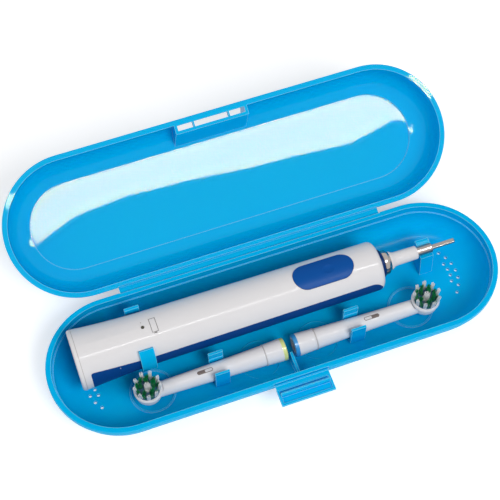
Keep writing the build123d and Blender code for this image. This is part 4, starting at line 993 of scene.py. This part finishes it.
@dataclass
class PrintShop:
    """Makes the printed marks, the inlays and the low ribs."""

    finishes: FinishRack

    def lay(
        self, name: str, barrel: Barrel, patches: list[list[CrossLine]], skin: Skin,
        body: str, lift: float = STRIP_LIFT,
    ) -> None:
        """Lays strips on a barrel and lets them ride on a body.

        Args:
            name: Name of the piece.
            barrel: What the strips lie on.
            patches: For each strip, its cross lines as (x, lowest y, highest y).
            skin: Its finish.
            body: The body that it moves with.
            lift: Height over the barrel's skin, in millimetres.
        """
        points: list[Point] = []
        faces: list[Face] = []
        row = STRIP_PARTS + 1
        for patch in patches:
            base = len(points)
            for x, low, high in patch:
                for part in range(row):
                    y = low + (high - low) * part / STRIP_PARTS
                    points.append(tuple(barrel.point(x, y, lift)))
            for line in range(len(patch) - 1):
                for part in range(STRIP_PARTS):
                    corner = base + line * row + part
                    faces.append((corner, corner + row, corner + row + 1, corner + 1))
        self.finishes.build(name, points, faces, skin, body)

    @staticmethod
    def lozenge(
        start: float, end: float, middle: float, half: float, square: bool = False
    ) -> list[CrossLine]:
        """Returns the cross lines of a strip with round ends, or with a square far end."""
        lines = []
        for step in range(LOZENGE_STEPS + 1):
            x = start + (end - start) * step / LOZENGE_STEPS
            near = min(abs(x - start), half)
            far = half if square else min(abs(end - x), half)
            reach = math.sqrt(max(0.0, half**2 - (half - min(near, far)) ** 2))
            reach = max(reach, LEAST_REACH)
            lines.append((x, middle - reach, middle + reach))
        return lines

    def grip_tail(self) -> None:
        """Makes both sides of the grip's rear."""
        tail = GripTail()
        near, far = tail.points(-1.0), tail.points(1.0)
        faces = tail.faces(0) + tail.faces(len(near))
        self.finishes.build("grip_tail", near + far, faces, Skin.GRIP_NAVY, "handle")

    def floor_rings(self) -> None:
        """Makes the two round ribs, each notched where it runs under a neck."""
        section = (
            (-RIB_HALF_WIDTH, 0.0), (-RIB_HALF_WIDTH * RIB_TOP_SHARE, RIB_RISE),
            (RIB_HALF_WIDTH * RIB_TOP_SHARE, RIB_RISE), (RIB_HALF_WIDTH, 0.0),
        )
        axis_y, axis_z = HEAD_AXIS
        for number, (side, middle_x, middle_y) in enumerate(RIB_MIDDLES):
            neck_radius = axis_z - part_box(f"head_neck_{side.value}")[0].z / MM + RIB_SPACE
            points: list[Point] = []
            for outwards, up in section:
                reach = RIB_RADIUS + outwards
                for along, across in circle(RIB_SIDES):
                    x, y = middle_x + reach * along, middle_y + reach * across
                    beside = min(abs(y - axis_y), neck_radius)
                    below = axis_z - math.sqrt(neck_radius**2 - beside**2)
                    rise = min(up, max(0.0, below - RIB_FLOOR_Z))
                    points.append((x * MM, y * MM, (RIB_FLOOR_Z + rise) * MM))
            faces = tube_faces(len(section), RIB_SIDES)
            self.finishes.build(f"floor_ring_{number}", points, faces, Skin.CASE_BLUE, "tray")

    def handle_marks(self) -> None:
        """Makes the battery outline and the two dots beside the indicator."""
        (left, right), (low, high), line = BATTERY_X, BATTERY_Y, BATTERY_LINE
        knob_left, knob_right = left + BATTERY_KNOB_INSET, right - BATTERY_KNOB_INSET
        knob_low = low - BATTERY_KNOB_LENGTH
        outline = [
            [(left, low, high), (left + line, low, high)],
            [(right - line, low, high), (right, low, high)],
            [(left, low, low + line), (right, low, low + line)],
            [(left, high - line, high), (right, high - line, high)],
            [(knob_left, knob_low, low), (knob_right, knob_low, low)],
        ]
        self.lay("battery_mark", MARK_BARREL, outline, Skin.ICON_GREY, "handle")
        dots = [self.lozenge(*dot) for dot in DOTS]
        self.lay("indicator_marks", MARK_BARREL, dots, Skin.ICON_GREY, "handle")

    def neck_slots(self, side: Side) -> None:
        """Makes the slot in a head's neck: dark towards the disc, which is painted shade for the
        hollow of the slot, and pale towards the ring.
        """
        direction, ring_x = NECK_ENDS[side]
        axis_y, axis_z = HEAD_AXIS
        barrel = Barrel(axis_y, axis_z, ring_x + direction * NECK_START, NECK_RADIUS, NECK_TAPER)
        near, middle, far = (
            ring_x + direction * at for at in (SLOT_NEAR, SLOT_MIDDLE, SLOT_FAR)
        )
        name, body = side.value, f"head_{side.value}"
        # The dark strip is painted shade for the hollow of the slot.
        dark = [self.lozenge(near, far, axis_y, SLOT_HALF)]
        self.lay(f"neck_slot_{name}", barrel, dark, Skin.SLOT_SHADE, body)
        pale_near = near + direction * PALE_INSET
        pale = [self.lozenge(pale_near, middle, axis_y, PALE_HALF, square=True)]
        self.lay(f"neck_slot_pale_{name}", barrel, pale, Skin.SLOT_PALE, body, lift=PALE_LIFT)


# ------------------------------------------------------ studio


@dataclass(frozen=True)
class Lamp:
    """A soft square lamp that points at the middle of the case; metres and watts."""

    name: str
    place: Point
    size: float
    power: float


LAMPS: tuple[Lamp, ...] = (
    Lamp("key", (0.25, -0.75, 0.95), 0.55, 9.3),
    Lamp("fill", (-0.9, 0.1, 0.8), 0.8, 3.0),
    Lamp("back", (0.2, 0.9, 0.9), 0.8, 1.1),
)
CARD_ACROSS = Vector((0.9862, 0.0797, -0.1451))
CARD_UP = Vector((0.0, 0.8765, 0.4814))
CARD_OUTLINE: tuple[tuple[float, float], ...] = (
    (-0.207, -0.0345), (-0.1641, -0.0185), (-0.1118, -0.0147), (-0.0459, -0.0169),
    (0.0137, -0.0224), (0.0643, -0.0242), (0.1044, -0.027), (0.1191, -0.027), (0.1399, -0.0225),
    (0.162, -0.0169), (0.1729, -0.0231), (0.2215, 0.018), (-0.2297, 0.018),
)
FLOOR_MATT = colour(0.85, 0.85, 0.86)


@dataclass
class Studio:
    """Floor, world, lamps, reflection card and camera; lengths in metres, angles in degrees."""

    target: Vector = field(default_factory=lambda: Vector((-0.0005, 0.0375, 0.020)))
    distance: float = 0.67057
    azimuth: float = -19.57
    elevation: float = 61.86
    roll: float = 0.09
    lens: float = 94.63
    sensor: float = 36.0
    nearest: float = 0.01
    floor_size: float = 3.0
    floor_glow: float = 0.45
    sky: float = 0.3
    card_place: Vector = field(default_factory=lambda: Vector((0.1070, -0.1927, 0.5481)))
    card_strength: float = 66.0

    def build(self) -> None:
        """Sets the whole studio up, under the plain view transform."""
        bpy.context.scene.view_settings.view_transform = "Standard"
        self.make_world()
        self.make_floor()
        self.make_lamps()
        self.make_card()
        self.make_camera()

    def view_matrix(self) -> Matrix:
        """Returns the camera's place and turn as a matrix."""
        turn, rise = math.radians(self.azimuth), math.radians(self.elevation)
        level = math.cos(rise)
        back = Vector((math.sin(turn) * level, -math.cos(turn) * level, math.sin(rise)))
        right = Vector((math.cos(turn), math.sin(turn), 0.0))
        up = back.cross(right)
        cosine, sine = math.cos(math.radians(self.roll)), math.sin(math.radians(self.roll))
        right, up = right * cosine + up * sine, up * cosine - right * sine
        matrix = Matrix((right, up, back)).transposed().to_4x4()
        matrix.translation = self.target + back * self.distance
        return matrix

    def make_camera(self) -> None:
        """Places the camera."""
        data = bpy.data.cameras.new("camera")
        data.lens = self.lens
        data.sensor_width = self.sensor
        data.clip_start = self.nearest
        camera = add_object("camera", data)
        camera.matrix_world = self.view_matrix()
        bpy.context.scene.camera = camera

    def make_world(self) -> None:
        """Makes a plain world: white where it is seen or mirrored, softer as light."""
        world = bpy.data.worlds.new("studio")
        world.use_nodes = True
        bpy.context.scene.world = world
        wiring = Wiring(world.node_tree)
        world.node_tree.nodes.clear()
        seen = self.seen_mask(wiring)
        strength = wiring.math("ADD", wiring.math("MULTIPLY", seen, 1.0 - self.sky), self.sky)
        light = wiring.add("ShaderNodeBackground", {"Color": WHITE, "Strength": strength})
        wiring.add("ShaderNodeOutputWorld", {"Surface": light.outputs[0]})

    @staticmethod
    def seen_mask(wiring: Wiring) -> bpy.types.NodeSocket:
        """Returns a mask that is 1 where the surroundings are seen, mirrored or seen through."""
        ray = wiring.add("ShaderNodeLightPath").outputs
        seen = wiring.math("MAXIMUM", ray["Is Camera Ray"], ray["Is Transmission Ray"])
        return wiring.math("MAXIMUM", seen, ray["Is Glossy Ray"])

    def make_floor(self) -> None:
        """Makes the pale floor that the case stands on."""
        half = self.floor_size / 2
        corners = [(-half, -half, 0), (half, -half, 0), (half, half, 0), (-half, half, 0)]
        made, wiring = blank_material("floor_white")
        seen = self.seen_mask(wiring)
        matt = wiring.add("ShaderNodeBsdfDiffuse", {"Color": FLOOR_MATT})
        glow = wiring.add("ShaderNodeEmission", {"Color": WHITE, "Strength": self.floor_glow})
        both = wiring.add("ShaderNodeAddShader", {0: matt.outputs[0], 1: glow.outputs[0]})
        chosen = wiring.add(
            "ShaderNodeMixShader", {0: seen, 1: matt.outputs[0], 2: both.outputs[0]}
        )
        wiring.add("ShaderNodeOutputMaterial", {"Surface": chosen.outputs[0]})
        floor = self.make_sheet("floor", corners, made)

    @staticmethod
    def make_sheet(
        name: str, corners: list[Point], material: bpy.types.Material
    ) -> bpy.types.Object:
        """Returns a flat object with the given corners and material."""
        mesh = bpy.data.meshes.new(name)
        mesh.from_pydata(corners, [], [tuple(range(len(corners)))])
        mesh.materials.append(material)
        return add_object(name, mesh)

    def make_lamps(self) -> None:
        """Hangs the soft lamps, which no reflection shows."""
        for lamp in LAMPS:
            data = bpy.data.lights.new(lamp.name, "AREA")
            data.size = lamp.size
            data.energy = lamp.power
            made = add_object(lamp.name, data)
            place = Vector(lamp.place)
            made.location = place
            made.rotation_mode = "QUATERNION"
            made.rotation_quaternion = (self.target - place).to_track_quat("-Z", "Y")
            made.visible_glossy = False

    def make_card(self) -> None:
        """Makes the bright card that only glossy surfaces show.

        Its outline gives the broad reflection in the lid.
        """
        corners = [
            tuple(self.card_place + CARD_ACROSS * across + CARD_UP * up)
            for across, up in CARD_OUTLINE
        ]
        made, wiring = blank_material("card_glow")
        glow = wiring.add("ShaderNodeEmission", {"Color": WHITE, "Strength": self.card_strength})
        wiring.add("ShaderNodeOutputMaterial", {"Surface": glow.outputs[0]})
        card = self.make_sheet("card", corners, made)
        card.visible_camera = False
        card.visible_diffuse = False
        card.visible_transmission = False
        card.visible_shadow = False


def main() -> None:
    """Dresses the frame, adds the pieces that it lacks and sets the studio round it."""
    logging.basicConfig(level=logging.INFO)
    finishes = FinishRack()
    finishes.dress_nodes()
    brushes = BrushDresser(finishes)
    lathe = Lathe(finishes)
    for part in NECK_PARTS + SEAM_LINES:
        lathe.turn(part)
    lathe.cap_seam()
    prints = PrintShop(finishes)
    prints.handle_marks()
    prints.grip_tail()
    prints.floor_rings()
    for side in Side:
        brushes.grow(side)
        prints.neck_slots(side)
    Studio().build()


if __name__ == "__main__":
    main()
